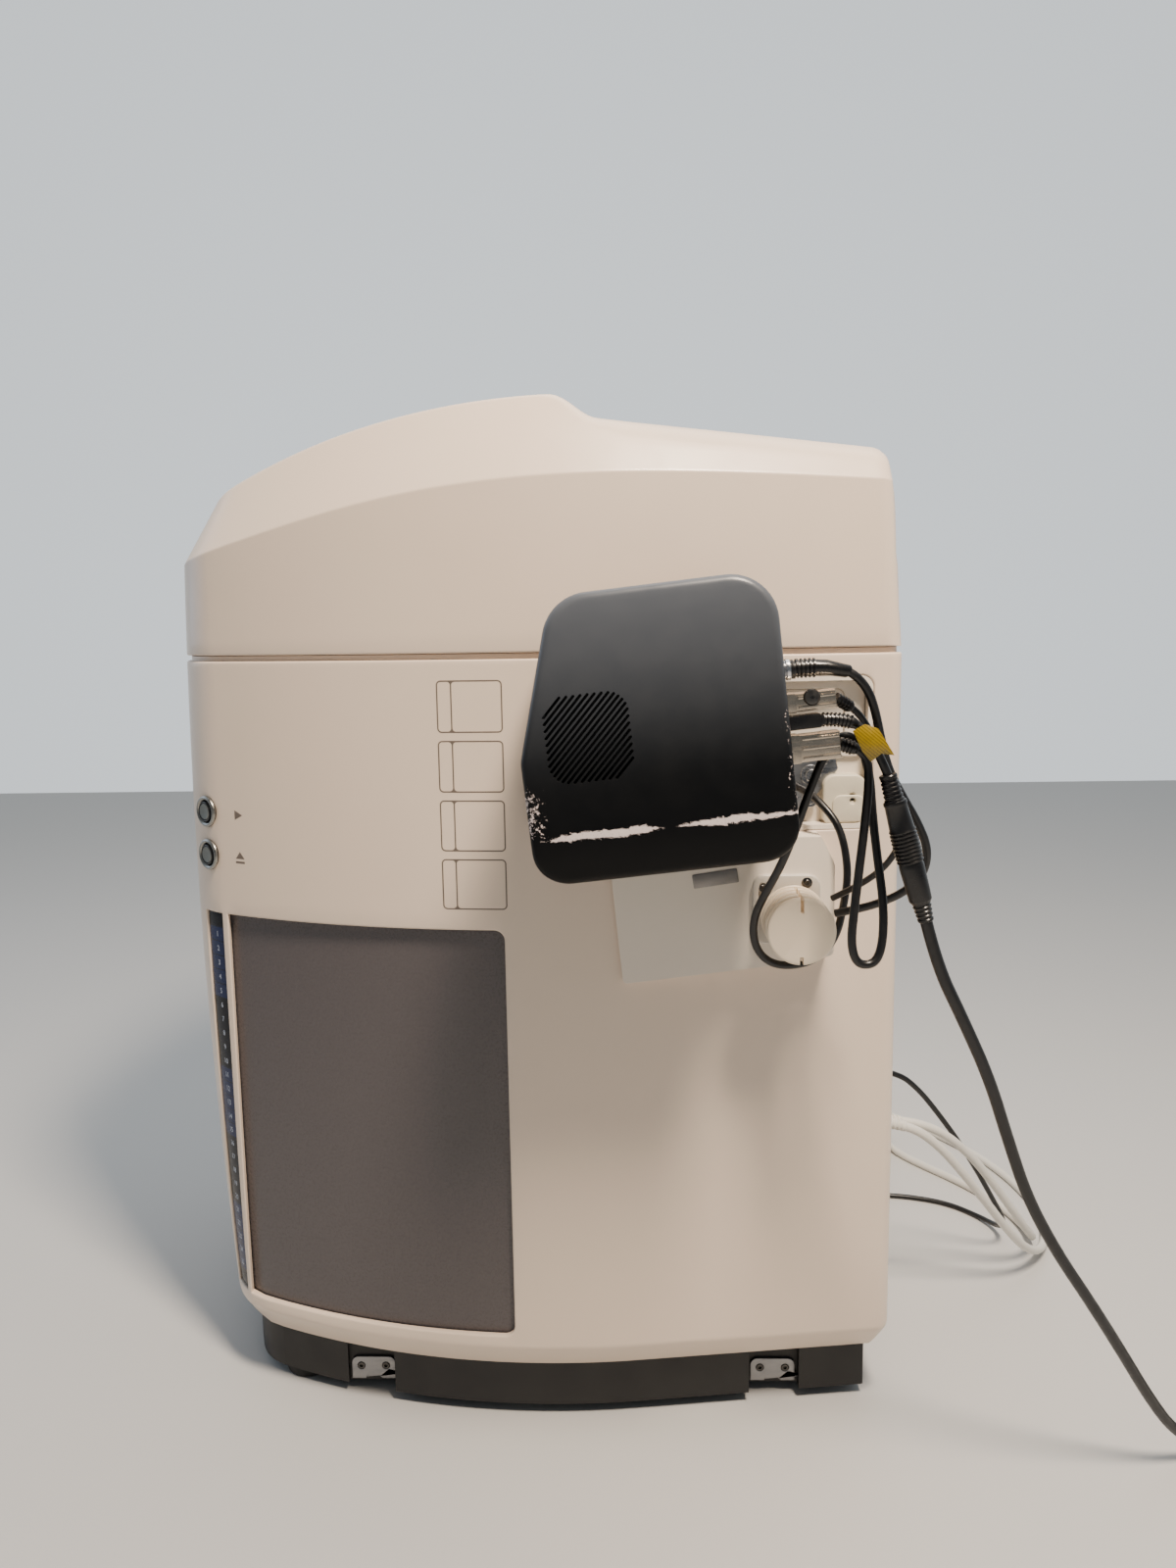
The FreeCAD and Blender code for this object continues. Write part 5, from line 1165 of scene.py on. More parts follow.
def hood_grid():
    """Points of half the hood: one row of points per level, from the seam up to the middle of the roof."""
    feet = [skin_point(along, HOOD_BOTTOM, 0) for along in hood_columns()]
    x0 = np.array([foot.x for foot in feet])
    y0 = np.array([foot.y for foot in feet])
    goal_y = np.clip(y0, CROWN_FROM, CROWN_TO)
    span = np.hypot(x0, goal_y - y0)
    span_safe = np.maximum(span, 1e-6)
    ux, uy = -x0 / span_safe, (goal_y - y0) / span_safe

    def same(value):
        return np.full_like(x0, value)

    def inward(z):
        """How far in the sharp side surface stands at a level, in each column."""
        return bisect(lambda h: -hood_sharp(x0 + ux * h, y0 + uy * h, z)[0], same(OUTERMOST), span)

    def above(z):
        h = inward(z)
        return hood_sharp(x0 + ux * h, y0 + uy * h, z)[1]

    crease = crease_level(y0)
    edge = bisect(above, crease - 20, same(TOPMOST))
    wall_from, bevel_from = HOOD_BOTTOM + LIP_ROWS[-1][0], crease + BEVEL_STARTS
    sides = [(wall_from + (crease - WALL_ENDS - wall_from) * share, 0.0) for share in WALL_SHARES]
    sides += [(crease + step, 0.0) for step in CREASE_STEPS]
    sides += [(bevel_from + (edge - EDGE_BAND - bevel_from) * share, 0.15 * share) for share in BEVEL_SHARES]
    sides += [(edge - drop, 0.2 + 0.25 * (EDGE_BAND - drop) / EDGE_BAND) for drop in EDGE_DROPS]
    lip = [(same(HOOD_BOTTOM + rise), inset) for rise, inset in LIP_ROWS]
    rows = [(inward(z) + inset, z, 0.0) for z, inset in lip]
    rows += [(inward(z), z, lean) for z, lean in sides]
    edge_h = inward(edge)
    roof = [(edge_h + step, 0.45 + 0.55 * step / ROOF_BAND) for step in ROOF_STEPS]
    roof += [(edge_h + ROOF_BAND + (span - edge_h - ROOF_BAND) * share, 1) for share in ROOF_SHARES]
    rows += [(h, roof_level(x0 + ux * h, y0 + uy * h), lean) for h, lean in roof]
    grid = []
    for h, z, lean in rows:
        across, down = np.cos(same(lean * math.pi / 2)), np.sin(same(lean * math.pi / 2))

        def moved(t):
            inward_by = h + t * across
            return -hood_round(x0 + ux * inward_by, y0 + uy * inward_by, z - t * down)
        t = bisect(moved, same(OUT_BY), same(IN_BY))
        t = np.where(hood_round(x0 + ux * h, y0 + uy * h, z) > 0, t, 0)
        h = h + t * across
        grid.append(np.stack([x0 + ux * h, y0 + uy * h, z - t * down], axis=1))
    return np.array(grid)


def hood_lining(grid):
    """The same points moved in by the wall, square to the surface."""
    x, y, z = grid[:, :, 0], grid[:, :, 1], grid[:, :, 2]
    reach = 0.6
    slope = np.stack([hood_round(x + reach, y, z) - hood_round(x - reach, y, z),
                      hood_round(x, y + reach, z) - hood_round(x, y - reach, z),
                      hood_round(x, y, z + reach) - hood_round(x, y, z - reach)], axis=2)
    slope /= np.linalg.norm(slope, axis=2, keepdims=True)
    slope[0] *= (1, 1, 0)
    return grid - slope * HOOD_WALL


def hood_skin():
    grid = hood_grid()
    lining = hood_lining(grid)
    levels, columns = grid.shape[:2]
    bm = bmesh.new()
    for side in (1, -1):
        layers = []
        for points in (grid, lining):
            layers.append([[bm.verts.new((side * p[0], p[1], p[2])) for p in row] for row in points])
        outside, inside = layers
        for j in range(columns - 1):
            for verts in layers:
                for i in range(levels - 1):
                    bm.faces.new((verts[i][j], verts[i][j + 1], verts[i + 1][j + 1], verts[i + 1][j]))
            bm.faces.new((outside[0][j], outside[0][j + 1], inside[0][j + 1], inside[0][j]))
    bmesh.ops.remove_doubles(bm, verts=bm.verts, dist=0.02)
    piece("hood_shell", settle(bm), PAINT, "casing_white", body="lift_hood", stands_for=("hood",))


def seam_lips():
    """Upright lip inside the casing's top edge, which closes the seam under the hood."""
    low, high, inset, thick = CASING_TOP - 1, HOOD_BOTTOM - 0.5, 3.2, 1.5
    for side, name in SIDE_NAMES.items():
        outer = rectangle(COVER_FROM, low, COVER_TO, high, 0.2, 2)
        bm = skin_sheet(outer, [], inset, thick, FLANK_PITCH, lip=0.2, side=side)
        piece(f"seam_lip_{name}", bm, PAINT, "casing_white")
    outer = rectangle(-COVER_FROM, low, COVER_FROM, high, 0.2, 2)
    bm = skin_sheet(outer, [], inset, thick, FRONT_PITCH, lip=0.2)
    add_block(bm, (-REAR_HALF, REAR_REACH - inset - thick, low), (REAR_HALF, REAR_REACH - inset, high), 0.2)
    piece("seam_lip_ends", bm, PAINT, "casing_white")


hood_skin()
seam_lips()


# ---- Finishes of the CAD nodes that keep their shape -----
NODE_FINISH = {
    BASE_BLACK: ("base_plinth", "base_plate"), PLATE: ("bay_insert", "module_plate"),
    INNER_BLACK: ("module_block", "fan_housing", "fan_rotor", "drive_motors", "scan_stage", "condenser",
                  "filter_wheel"),
    ALUMINIUM: ("magazine_frame", "lift_carriage", "optics_column"), TRAY: ("stored_trays", "active_tray"),
    STEEL: ("lift_rods", "lift_screw"), BRIGHT: ("objective_turret",),
}
for node_material, node_names in NODE_FINISH.items():
    for node_name in node_names:
        for socket in NODES[node_name].material_slots:
            socket.material = node_material


# ---- Camera module: cover with rolled edges, slotted grille, scuffs ----
MODULE_LEFT, MODULE_RIGHT, MODULE_LOW, MODULE_HIGH, SHOULDER, ELBOW = -77, 68.3, -79.6, 77.1, -51, -9
MODULE_WALL, MODULE_EDGE, MODULE_FILLET = 2.5, 4.2, 6
MODULE_ROUNDS = (20, 20, 26, 26, 20)
FACE_CUTS = (-77, -74, -71, -68, -65, -62, -59, -56, -53, -50, 61, 66, 70)
FOOT_ROLL_FROM, FOOT_ROLL_LONG, FOOT_ROLL = 50, 29.6, 7.5
HEAD_ROLL_FROM, HEAD_ROLL_LONG, HEAD_ROLL = 58, 19.1, 1.2
GRILLE_MIDDLE, GRILLE_HALF, GRILLE_ROUND = (-39, 0.5), (23, 23.5), 11
SLOTS, SLOT_PITCH, SLOT_HALF = 20, 2.66, 0.72
TILT_COS, TILT_SIN = math.cos(MODULE_TILT), math.sin(MODULE_TILT)


def on_module(a, b, x):
    """Space point of a place given in the module's own tilted outline."""
    return Vector((x, MODULE_AT + a * TILT_COS - b * TILT_SIN, MODULE_LEVEL + a * TILT_SIN + b * TILT_COS))


def module_loop(inset):
    left, right, low, high = MODULE_LEFT + inset, MODULE_RIGHT - inset, MODULE_LOW + inset, MODULE_HIGH - inset
    corners = [(left, low), (right, low), (right, high), (SHOULDER + inset, high), (left, ELBOW)]
    return rounded_loop(corners, [max(radius - inset, 2) for radius in MODULE_ROUNDS], 12)


def grille_slots():
    """Slots that rise to the right, clipped to a rounded square."""
    slots = []
    along, across = Vector((1, 1)).normalized(), Vector((-1, 1)).normalized()
    for number in range(SLOTS):
        shift = (number - (SLOTS - 1) / 2) * SLOT_PITCH
        inside = []
        for step in range(-360, 361):
            point = across * shift + along * (step * 0.1)
            over = [max(abs(point[axis]) - (GRILLE_HALF[axis] - GRILLE_ROUND), 0) for axis in (0, 1)]
            if math.hypot(*over) < GRILLE_ROUND:
                inside.append(step * 0.1)
        low, high = min(inside) + SLOT_HALF, max(inside) - SLOT_HALF
        loop = []
        for end, first in ((high, -90), (low, 90)):
            for step in range(7):
                angle = math.radians(first + 30 * step)
                point = across * (shift + SLOT_HALF * math.sin(angle))
                point += along * (end + SLOT_HALF * math.cos(angle))
                loop.append((GRILLE_MIDDLE[0] + point.x, GRILLE_MIDDLE[1] + point.y))
        slots.append(loop)
    return slots


def module_cover():
    bm = bmesh.new()

    def ring(loop, x):
        return [bm.verts.new((a, b, x)) for a, b in loop]

    outer = [ring(module_loop(0.8), MODULE_NEAR), ring(module_loop(0), MODULE_NEAR + 0.8)]
    for step in range(7):
        angle = math.pi / 2 * step / 6
        outer.append(ring(module_loop(MODULE_EDGE * (1 - math.cos(angle))),
                          MODULE_FACE - MODULE_EDGE * (1 - math.sin(angle))))
    inner = [ring(module_loop(MODULE_WALL), MODULE_NEAR),
             ring(module_loop(MODULE_WALL), MODULE_FACE - MODULE_WALL - MODULE_FILLET),
             ring(module_loop(MODULE_WALL + MODULE_FILLET), MODULE_FACE - MODULE_WALL)]
    join_all(bm, outer)
    join_all(bm, inner)
    join_rings(bm, inner[0], outer[0])
    fronts, backs = [outer[-1]], [inner[-1]]
    for slot in grille_slots():
        levels = [ring(offset_loop(slot, -0.12), MODULE_FACE), ring(slot, MODULE_FACE - 0.15),
                  ring(slot, MODULE_FACE - MODULE_WALL)]
        join_all(bm, levels)
        fronts.append(levels[0])
        backs.append(levels[-1])
    fill(bm, fronts)
    fill(bm, backs)
    for level in FACE_CUTS:
        cut(bm, (0, level, 0), Y)
    for vert in bm.verts:
        a, b, x = vert.co
        if x > MODULE_FACE - 12:
            foot = max(-FOOT_ROLL_FROM - b, 0) / FOOT_ROLL_LONG
            head = max(b - HEAD_ROLL_FROM, 0) / HEAD_ROLL_LONG
            x -= FOOT_ROLL * foot ** 2 + HEAD_ROLL * head ** 2
        vert.co = on_module(a, b, x)
    piece("module_cover_skin", settle(bm), MODULE_BLACK, "cover_black", stands_for=("module_cover",), sharp=40)


BAND_LEVEL, BAND_WIDTH, BAND_RAGGED = -53.4, 2.1, 6.6


def scuffs():
    """Worn band across the lower face, and chips at its ends."""
    x, a, b = SHELL.coordinate((0, MODULE_AT, MODULE_LEVEL), MODULE_TILT)
    math_node, ranged = SHELL.math, SHELL.ranged

    def product(*masks):
        mask = masks[0]
        for other in masks[1:]:
            mask = math_node("MULTIPLY", mask, other)
        return mask

    wave = SHELL.noise(26, 2, 0.5)
    ragged = SHELL.noise(1.9, 5, 0.85, stretch=(1, 0.5, 1))
    away = math_node("ABSOLUTE", math_node("SUBTRACT", b, math_node("MULTIPLY_ADD", wave, 3.0, BAND_LEVEL)))
    left = product(ranged(a, -73, -50), ranged(a, -3, -16))
    right = product(ranged(a, 0.5, 26), ranged(a, 62, 38, 0.42, 1))
    either = math_node("MAXIMUM", left, right)
    width = math_node("MULTIPLY_ADD", math_node("SUBTRACT", ragged, 0.5), BAND_RAGGED,
                      product(either, BAND_WIDTH))
    band = ranged(math_node("SUBTRACT", width, away), -0.12, 0.12)
    face = ranged(x, 300, 320)
    band = product(band, ranged(either, 0.0, 0.08), face)
    corner = product(ranged(a, -62, -73), ranged(b, -58, -46), ranged(b, -16, -30))
    rear = product(ranged(a, 62, 66), ranged(b, -54, -48), ranged(b, 8, 0))
    chips = math_node("MULTIPLY_ADD", rear, 0.09, SHELL.noise(2.6, 4, 0.8))
    chips = math_node("MULTIPLY_ADD", corner, 0.16, chips)
    chips = product(ranged(chips, 0.70, 0.73), math_node("MAXIMUM", corner, rear))
    mask = math_node("MAXIMUM", band, product(ranged(chips, 0.02, 0.2), face))
    grey = ranged(SHELL.noise(0.9, 3, 0.7), 0.56, 0.72, 0, 0.5)
    SHELL.tint(mask, (226, 212, 210))
    SHELL.tint(product(mask, grey), (120, 112, 112))
    SHELL.bump(math_node("SUBTRACT", 1.0, mask), 0.12)


scuffs()
module_cover()


# ---- Front corner: numbered strip, push buttons, plain marks on the side ----
TRAY_FIRST, TRAY_PITCH, TRAYS, GROUPS_FROM = 336.5, 10.47, 25, 344.7


def strip_finish():
    """Smoked lens: groups of five trays in turn blue and black, a faint line between trays."""
    finish = Finish("strip_lens", (13, 14, 20), 0.26, specular=0.2)
    split = finish.node("ShaderNodeSeparateXYZ", {"Vector": finish.place})
    below = finish.math("SUBTRACT", GROUPS_FROM * MM, split.outputs["Z"])
    group = finish.math("FRACT", finish.math("DIVIDE", below, 10 * TRAY_PITCH * MM))
    first_half = finish.math("LESS_THAN", group, 0.5)
    blue = finish.math("MULTIPLY", first_half, finish.math("GREATER_THAN", below, 0.0))
    cell = finish.math("FRACT", finish.math("DIVIDE", below, TRAY_PITCH * MM))
    finish.tint(finish.math("MULTIPLY", blue, 0.9), (30, 42, 82))
    finish.tint(finish.math("MULTIPLY", finish.math("LESS_THAN", cell, 0.08), 0.7), (12, 14, 22))
    finish.tint(finish.ranged(finish.noise(6, 4), 0.5, 0.8, 0, 0.15), (50, 60, 90))
    finish.vary_roughness(finish.noise(8, 3), 0.04)
    finish.bump(finish.noise(3, 2), 0.004)
    return finish.material


def number_strip():
    outer = strip_loop(math.degrees(STRIP_GAP / CORNER_RADIUS), STRIP_GAP)
    bm = skin_sheet(outer, [], STRIP_INSET, STRIP_THICK, FLANK_PITCH, lip=0.4)
    piece("number_strip_lens", bm, strip_finish(), "strip_print", stands_for=("number_strip",))


def text_mesh(words, size):
    """The faces of a line of plain text, about the origin, in millimetres."""
    data = bpy.data.curves.new("numeral", "FONT")
    data.body = words
    data.size = size
    data.align_x, data.align_y = "CENTER", "CENTER"
    data.extrude = 0.04
    mesh = mesh_of(data)
    bpy.data.curves.remove(data)
    return mesh


def strip_numbers():
    bm = bmesh.new()
    for number in range(1, TRAYS + 1):
        level = TRAY_FIRST - (number - 1) * TRAY_PITCH + 2.25
        along = at_corner(STRIP_NEAR + (STRIP_FAR - STRIP_NEAR) * 0.40, level)
        mesh = text_mesh(str(number), 5.4)
        before = len(bm.verts)
        bm.from_mesh(mesh)
        bpy.data.meshes.remove(mesh)
        bm.verts.ensure_lookup_table()
        for vert in bm.verts[before:]:
            vert.co = skin_point(along + vert.co.x, level + vert.co.y, STRIP_INSET - vert.co.z)
    piece("strip_numbers", bm, PALE_INK, "strip_print")


def button_frame(level):
    """Foot on the skin and outward direction of a push button."""
    angle = math.radians(BUTTON_ANGLE)
    outward = Vector((math.cos(angle), -math.sin(angle), 0))
    centre = corner_centre(bulge(level))
    return Vector((centre.x, centre.y, level)) + outward * CORNER_RADIUS, outward


def push_button(name, level):
    seat, outward = button_frame(level)
    bezel = bmesh.new()
    start = (0.1, BEZEL_BARREL)
    add_turned(bezel, [start, (0.1, 11), (0.9, 11), (1.5, 10.7), (2.05, 9.9), (2.1, 9.2), (1.5, 8.5),
                       (0.8, 7.9), (0.4, 7.75), (-10, 7.75), (-10, BEZEL_BARREL), start],
               seat, outward, 56, False)
    bmesh.ops.remove_doubles(bezel, verts=bezel.verts, dist=1e-5)
    add_turned(bezel, [(at, BEZEL_BARREL) for at in (-21, -19, -12)], seat, outward, 40)
    piece(f"{name}_bezel_ring", settle(bezel), BEZEL, "bright_metal", sharp=50)
    turned(f"{name}_button_rim", [(-9, 7.2), (1.0, 7.2), (1.9, 7.0), (2.3, 6.5), (2.2, 6.0), (1.4, 5.7)],
           seat, outward, BLACK, "base_black", 48, body=f"{name}_button", stands_for=(f"{name}_button",))
    turned(f"{name}_button_cap", [(1.2, 5.6), (2.0, 5.6), (2.35, 5.3), (2.25, 4.2), (2.1, 2.4), (2.05, 0)],
           seat, outward, CAP_METAL, "bright_metal", 48, body=f"{name}_button")


MARK_THICK, SIGNS_AT = 0.08, -188
OUTLINES_FROM, OUTLINES_TO, OUTLINES_LOW, OUTLINES_TALL, OUTLINES_PITCH = -42, 0.5, 369, 33.5, 38.5


def side_marks():
    """Plain signs beside the push buttons, and a column of slide outlines behind them."""
    bm = bmesh.new()

    def mark(outer, holes=()):
        flat = bmesh.new()
        add_sheet(flat, outer, holes, as_drawn, MARK_THICK, 0.01, 1, pitch=7)
        for vert in flat.verts:
            vert.co = skin_point(vert.co.x, vert.co.y, vert.co.z - MARK_THICK / 2)
        merge(bm, flat)

    at = at_y(SIGNS_AT)
    mark([(at - 2.6, 422.8), (at + 3.6, 426.2), (at - 2.6, 429.6)])
    mark([(at - 3.6, 395.6), (at + 3.6, 395.6), (at, 400.6)])
    mark(rectangle(at - 3.6, 392.4, at + 3.6, 393.9))
    left, right = at_y(OUTLINES_FROM), at_y(OUTLINES_TO)
    for number in range(4):
        low = OUTLINES_LOW + number * OUTLINES_PITCH
        high = low + OUTLINES_TALL
        mark(rectangle(left, low, right, high, 3, 5),
             [rectangle(left + 0.9, low + 0.9, left + 9.1, high - 0.9, 2.1, 5),
              rectangle(left + 10, low + 0.9, right - 0.9, high - 0.9, 2.1, 5)])
    piece("side_marks", settle(bm), GREY_INK, "panel_grey")


number_strip()
strip_numbers()
for button_name, button_level in (("start", START_LEVEL), ("open", OPEN_LEVEL)):
    push_button(button_name, button_level)
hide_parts("button_bezels")
side_marks()


# ---- Connector bay, plugs on the module's flank, lamp house ----
def add_pad(bm, loop, near, far, lip=0.5, holes=()):
    """Add a plate in the side's plane, its outline in (Y, Z), with rounded outer lips."""
    add_sheet(bm, loop, holes, lambda a, b, depth: Vector((far - depth, a, b)), far - near, lip, 3)


def add_module_block(bm, low, high, near, far, bevel=0.5):
    """Add a block in the module's tilted frame: low and high are its (a, b) corners."""
    matrix = Matrix.Translation((0, MODULE_AT, MODULE_LEVEL)) @ Matrix.Rotation(MODULE_TILT, 4, "X")
    add_block(bm, (near, *low), (far, *high), bevel, matrix)


SOCKET_DEPTH = 0.6


def socket_screw(bm, foot, radius, tall, direction=X):
    """Add a cap screw with a socket in its head."""
    floor = tall - tall * SOCKET_DEPTH
    profile = [(0, 0), (0, radius), (tall - 0.4, radius), (tall, radius - 0.4), (tall, radius * 0.52),
               (floor, radius * 0.5), (floor, 0)]
    add_turned(bm, profile, foot, direction, 30)


def bay():
    frame_plate = bmesh.new()
    add_pad(frame_plate, rectangle(168.6, 463, 235, 513.4, 6), BAY_FLOOR, 188.6, 0.8,
            [rectangle(173.5, 468, 222, 508, 5)])
    add_pad(frame_plate, rectangle(174, 468.5, 221.5, 507.5, 4.5), BAY_FLOOR, 187.2, 0.4)
    piece("bay_frame", settle(frame_plate), PLATE, "plate_white")
    cover = bmesh.new()
    socket_y, socket_z = 226.5, 434.6
    add_pad(cover, rectangle(207.5, 419.6, 235.8, 452, [4, 4, 8, 8]), BAY_FLOOR, 196, 1.4,
            [circle((socket_y, 437.1), 2.3, 24)])
    add_pad(cover, rectangle(213.5, 421, 235, 438.6, [2, 2, 6, 6]), 195, 197.2, 0.8,
            [circle((socket_y, socket_z), 1.9, 24)])
    piece("bay_cover", settle(cover), BEIGE, "plate_white")
    turned("bay_cover_socket", [(186.2, 2.2), (190.5, 2.2), (190.5, 1.4), (188, 1.4), (188, 0)],
           (0, socket_y, socket_z), X, INNER_BLACK, "inner_black", 24)
    bracket, bracket_face = bmesh.new(), 191
    outline = rounded_loop([(172, 476), (172, 430), (192, 428), (204, 438), (218, 455), (214, 472)],
                           [2, 2, 3, 3, 3, 3], 5)
    add_pad(bracket, outline, BAY_FLOOR, bracket_face, 0.7,
            [circle((209, 461), 2.2, 20), circle((181, 466), 2.4, 20)])
    piece("bay_bracket_plate", settle(bracket), BRUSHED, "machined_aluminium", stands_for=("bay_bracket",))
    screws = bmesh.new()
    for y, z, radius in ((200, 451.5, 4.2), (199.5, 435.5, 2.9)):
        add_turned(screws, [(0, radius + 2.6), (0.9, radius + 2.6), (1.2, radius + 2.3), (1.2, radius - 1)],
                   (bracket_face, y, z), X, 36)
        socket_screw(screws, (bracket_face + 1, y, z), radius, 4)
    piece("bay_screws", settle(screws), STEEL, "bare_steel")


def metal_hoods():
    bm = bmesh.new()
    for level, tall in ((4, 11), (-21.5, 16)):
        low, high = level - tall / 2, level + tall / 2
        add_module_block(bm, (69, low + 0.5), (97.5, high - 0.5), 298.4, 311.6, 1.0)
        add_module_block(bm, (67, low - 0.5), (69.8, high + 0.5), 297.2, 312.8, 0.5)
        add_module_block(bm, (69.6, low + 0.1), (75.5, high - 0.1), 298, 312, 0.6)
        ridges = 3 if tall > 12 else 2
        for number in range(ridges):
            at = low + tall * (number + 0.5) / ridges
            add_module_block(bm, (76.5, at - 0.9), (97.2, at + 0.9), 311.0, 312.4, 0.6)
        for side in (low + 1.2, high - 1.2):
            add_module_block(bm, (88, side - 0.9), (98, side + 0.9), 300, 310, 0.6)
    piece("metal_plug_hoods", settle(bm), HOOD_METAL, "machined_aluminium", stands_for=("plug_hoods",))
    knob = bmesh.new()
    foot = on_module(84, 6.5, 311.5)
    add_turned(knob, [(0, 4.6), (2.0, 4.6), (2.9, 4.0), (3.2, 2.8), (3.2, 0.9), (2.2, 0.8), (2.2, 0)],
               foot, X, 32)
    piece("hood_thumb_screw", settle(knob), DARK_METAL, "bare_steel")


def ring_connector():
    axis = Vector((0, TILT_COS, TILT_SIN))
    foot = on_module(67, 22.5, 306)
    bm = bmesh.new()
    add_turned(bm, [(0, 7.6), (2.4, 7.6), (3, 7.0), (3, 5.6)], foot, axis, 40)
    add_turned(bm, [(2.8, 5.6), (4.2, 6.0), (4.8, 5.5), (5.4, 6.0), (7.2, 6.0), (7.7, 5.6), (8.2, 4.6)],
               foot, axis, 40)
    piece("ring_connector", settle(bm), BRIGHT, "bright_metal", stands_for=("module_jacks",))
    socket = bmesh.new()
    add_module_block(socket, (67, -10.8), (69.6, -2.2), 304.4, 317.6, 0.4)
    piece("flat_socket", settle(socket), BRIGHT, "bright_metal")


LAMP_FOOT, LAMP_FINS, FIRST_FIN_PAST, FLANGE_AT = 226, (230.5, 239.2, 247.9, 256.6), 236, 179.9
NOTCH_HALF, NOTCH_FROM, NOTCH_TO, NOTCH_RIM, NOTCH_SUNK = 1.1, 231, 261, 263.5, 5


def lamp_house():
    start, wide = LAMP_FOOT, LAMP_DISC
    centre = Vector((0, LAMP_AT, LAMP_LEVEL))
    profile = [(start, 0), (start, wide - 3), (start + 3, wide - 3), (start + 3.3, wide - 0.3)]
    for fin in LAMP_FINS:
        profile += [(fin, wide), (fin + 0.5, wide - 0.5), (fin + 0.8, wide - 2.8), (fin + 4.4, wide - 2.8),
                    (fin + 4.7, wide - 0.5), (fin + 5.2, wide)]
    profile += [(264.9, wide), (265.3, wide - 0.2), (265.8, wide - 0.8), (266, wide - 1.6), (266, 0)]
    bm = bmesh.new()
    add_turned(bm, profile, centre, X, 128)
    for low, high in ((LAMP_LEVEL + 11.6, LAMP_LEVEL + 24), (LAMP_LEVEL - 24, LAMP_LEVEL - 15.6)):
        cut_notch(bm, low, high)
    piece("lamp_housing_finned", settle(bm), CREAM, "casing_white", stands_for=("lamp_housing",), sharp=28)


def cut_notch(bm, low, high):
    """Sink a narrow slot along the lamp's flank, through the rim of its face."""
    for y in (LAMP_AT - NOTCH_HALF, LAMP_AT + NOTCH_HALF):
        cut(bm, (0, y, 0), Y)
    inner, outer = (low, 1) if low > LAMP_LEVEL else (high, -1)
    cut(bm, (0, 0, inner), Z)
    inside = []
    for face in bm.faces:
        middle = face.calc_center_median()
        in_slot = abs(middle.y - LAMP_AT) < NOTCH_HALF and low - 0.01 < middle.z < high
        if in_slot and middle.x > NOTCH_FROM:
            inside.append(face)
    made = bmesh.ops.extrude_face_region(bm, geom=inside)
    bmesh.ops.delete(bm, geom=inside, context="FACES")
    for vert in [item for item in made["geom"] if isinstance(item, bmesh.types.BMVert)]:
        if vert.co.x > NOTCH_RIM and abs(vert.co.z - LAMP_LEVEL) < LAMP_DISC - 1.9:
            vert.co.x -= NOTCH_SUNK
        else:
            vert.co.z = inner if vert.co.x > FIRST_FIN_PAST else vert.co.z - outer * 1.2
            vert.co.x = min(vert.co.x, NOTCH_TO)


def lamp_mount():
    outer = rectangle(FLANGE_AT - 21.5, 347, FLANGE_AT + 21.5, 392, 8, 8)
    bore = circle((LAMP_AT, LAMP_LEVEL), 14, 64)
    leaning = [(161.6, 376.8), (165.4, 376.2), (167.2, 386), (163.2, 386.8)]
    slot = rounded_loop(leaning, [1.8] * 4, 5)
    bm = bmesh.new()
    add_pad(bm, outer, PLATE_FACE, PLATE_FACE + 4.5, 1.0, [bore, slot])
    piece("lamp_flange_plate", settle(bm), FLANGE_GREY, "machined_aluminium", stands_for=("lamp_flange",))
    screws = bmesh.new()
    proud = (226, 192.6, 386.9)
    for foot in ((224.6, 164.4, 383.4), proud):
        socket_screw(screws, foot, 2.2, 1.6)
    add_turned(screws, [(0, 3.4), (0.3, 3.4), (0.4, 3.2), (0.4, 1)], proud, X, 30)
    piece("lamp_screws", settle(screws), DARK_METAL, "bare_steel")


def name_plate():
    """Bare grey plate under the module."""
    corners = [(121.1, 382.4), (149.9, 386.7), (148.6, 395.7), (119.8, 391.5)]
    bm = bmesh.new()
    add_pad(bm, rounded_loop(corners, [0.8] * 4, 4), PLATE_FACE, PLATE_FACE + 0.5, 0.15)
    piece("blank_plate", settle(bm), BLANK_GREY, "plate_white")


def coupler():
    """In-line coupler: ringed collar, ribbed grip, plain sleeve and stepped tail."""
    profile = [(0, 2.6), (0, 4.6), (0.6, 5.0), (1.6, 5.0), (2.0, 4.7)]
    for number in range(5):
        at, more = 3 + number * 2.4, number * 0.12
        profile += [(at, 4.9 + more), (at + 0.5, 4.4 + more), (at + 1.0, 4.4 + more), (at + 1.5, 5.0 + more)]
    profile += [(15, 5.6), (15.4, 6.4), (16.6, 6.6), (17.6, 6.4), (18, 6.2), (31, 6.9)]
    for number in range(9):
        at = 32 + number * 2.2
        more = 0.35 * math.sin(math.pi * (number + 0.5) / 9)
        profile += [(at, 7.2 + more), (at + 0.5, 7.4 + more), (at + 1.0, 7.2 + more),
                    (at + 1.4, 6.5 + more), (at + 1.8, 6.5 + more)]
    profile += [(52.4, 6.9), (54, 6.95), (73, 6.4), (74, 6.0), (74.4, 5.5)]
    for number in range(4):
        at, less = 75.2 + number * 2.5, number * 0.25
        profile += [(at, 5.3 - less), (at + 0.6, 4.8 - less), (at + 1.2, 4.8 - less), (at + 1.7, 5.3 - less)]
    profile += [(85.6, 4.4), (86, 4.0), (86, 3.0)]
    bm = bmesh.new()
    add_turned(bm, profile, COUPLER_TOP, COUPLER_AXIS, 48)
    return piece("lead_coupler_body", settle(bm), GLOSS_BLACK, "jacket_black", stands_for=("lead_coupler",))


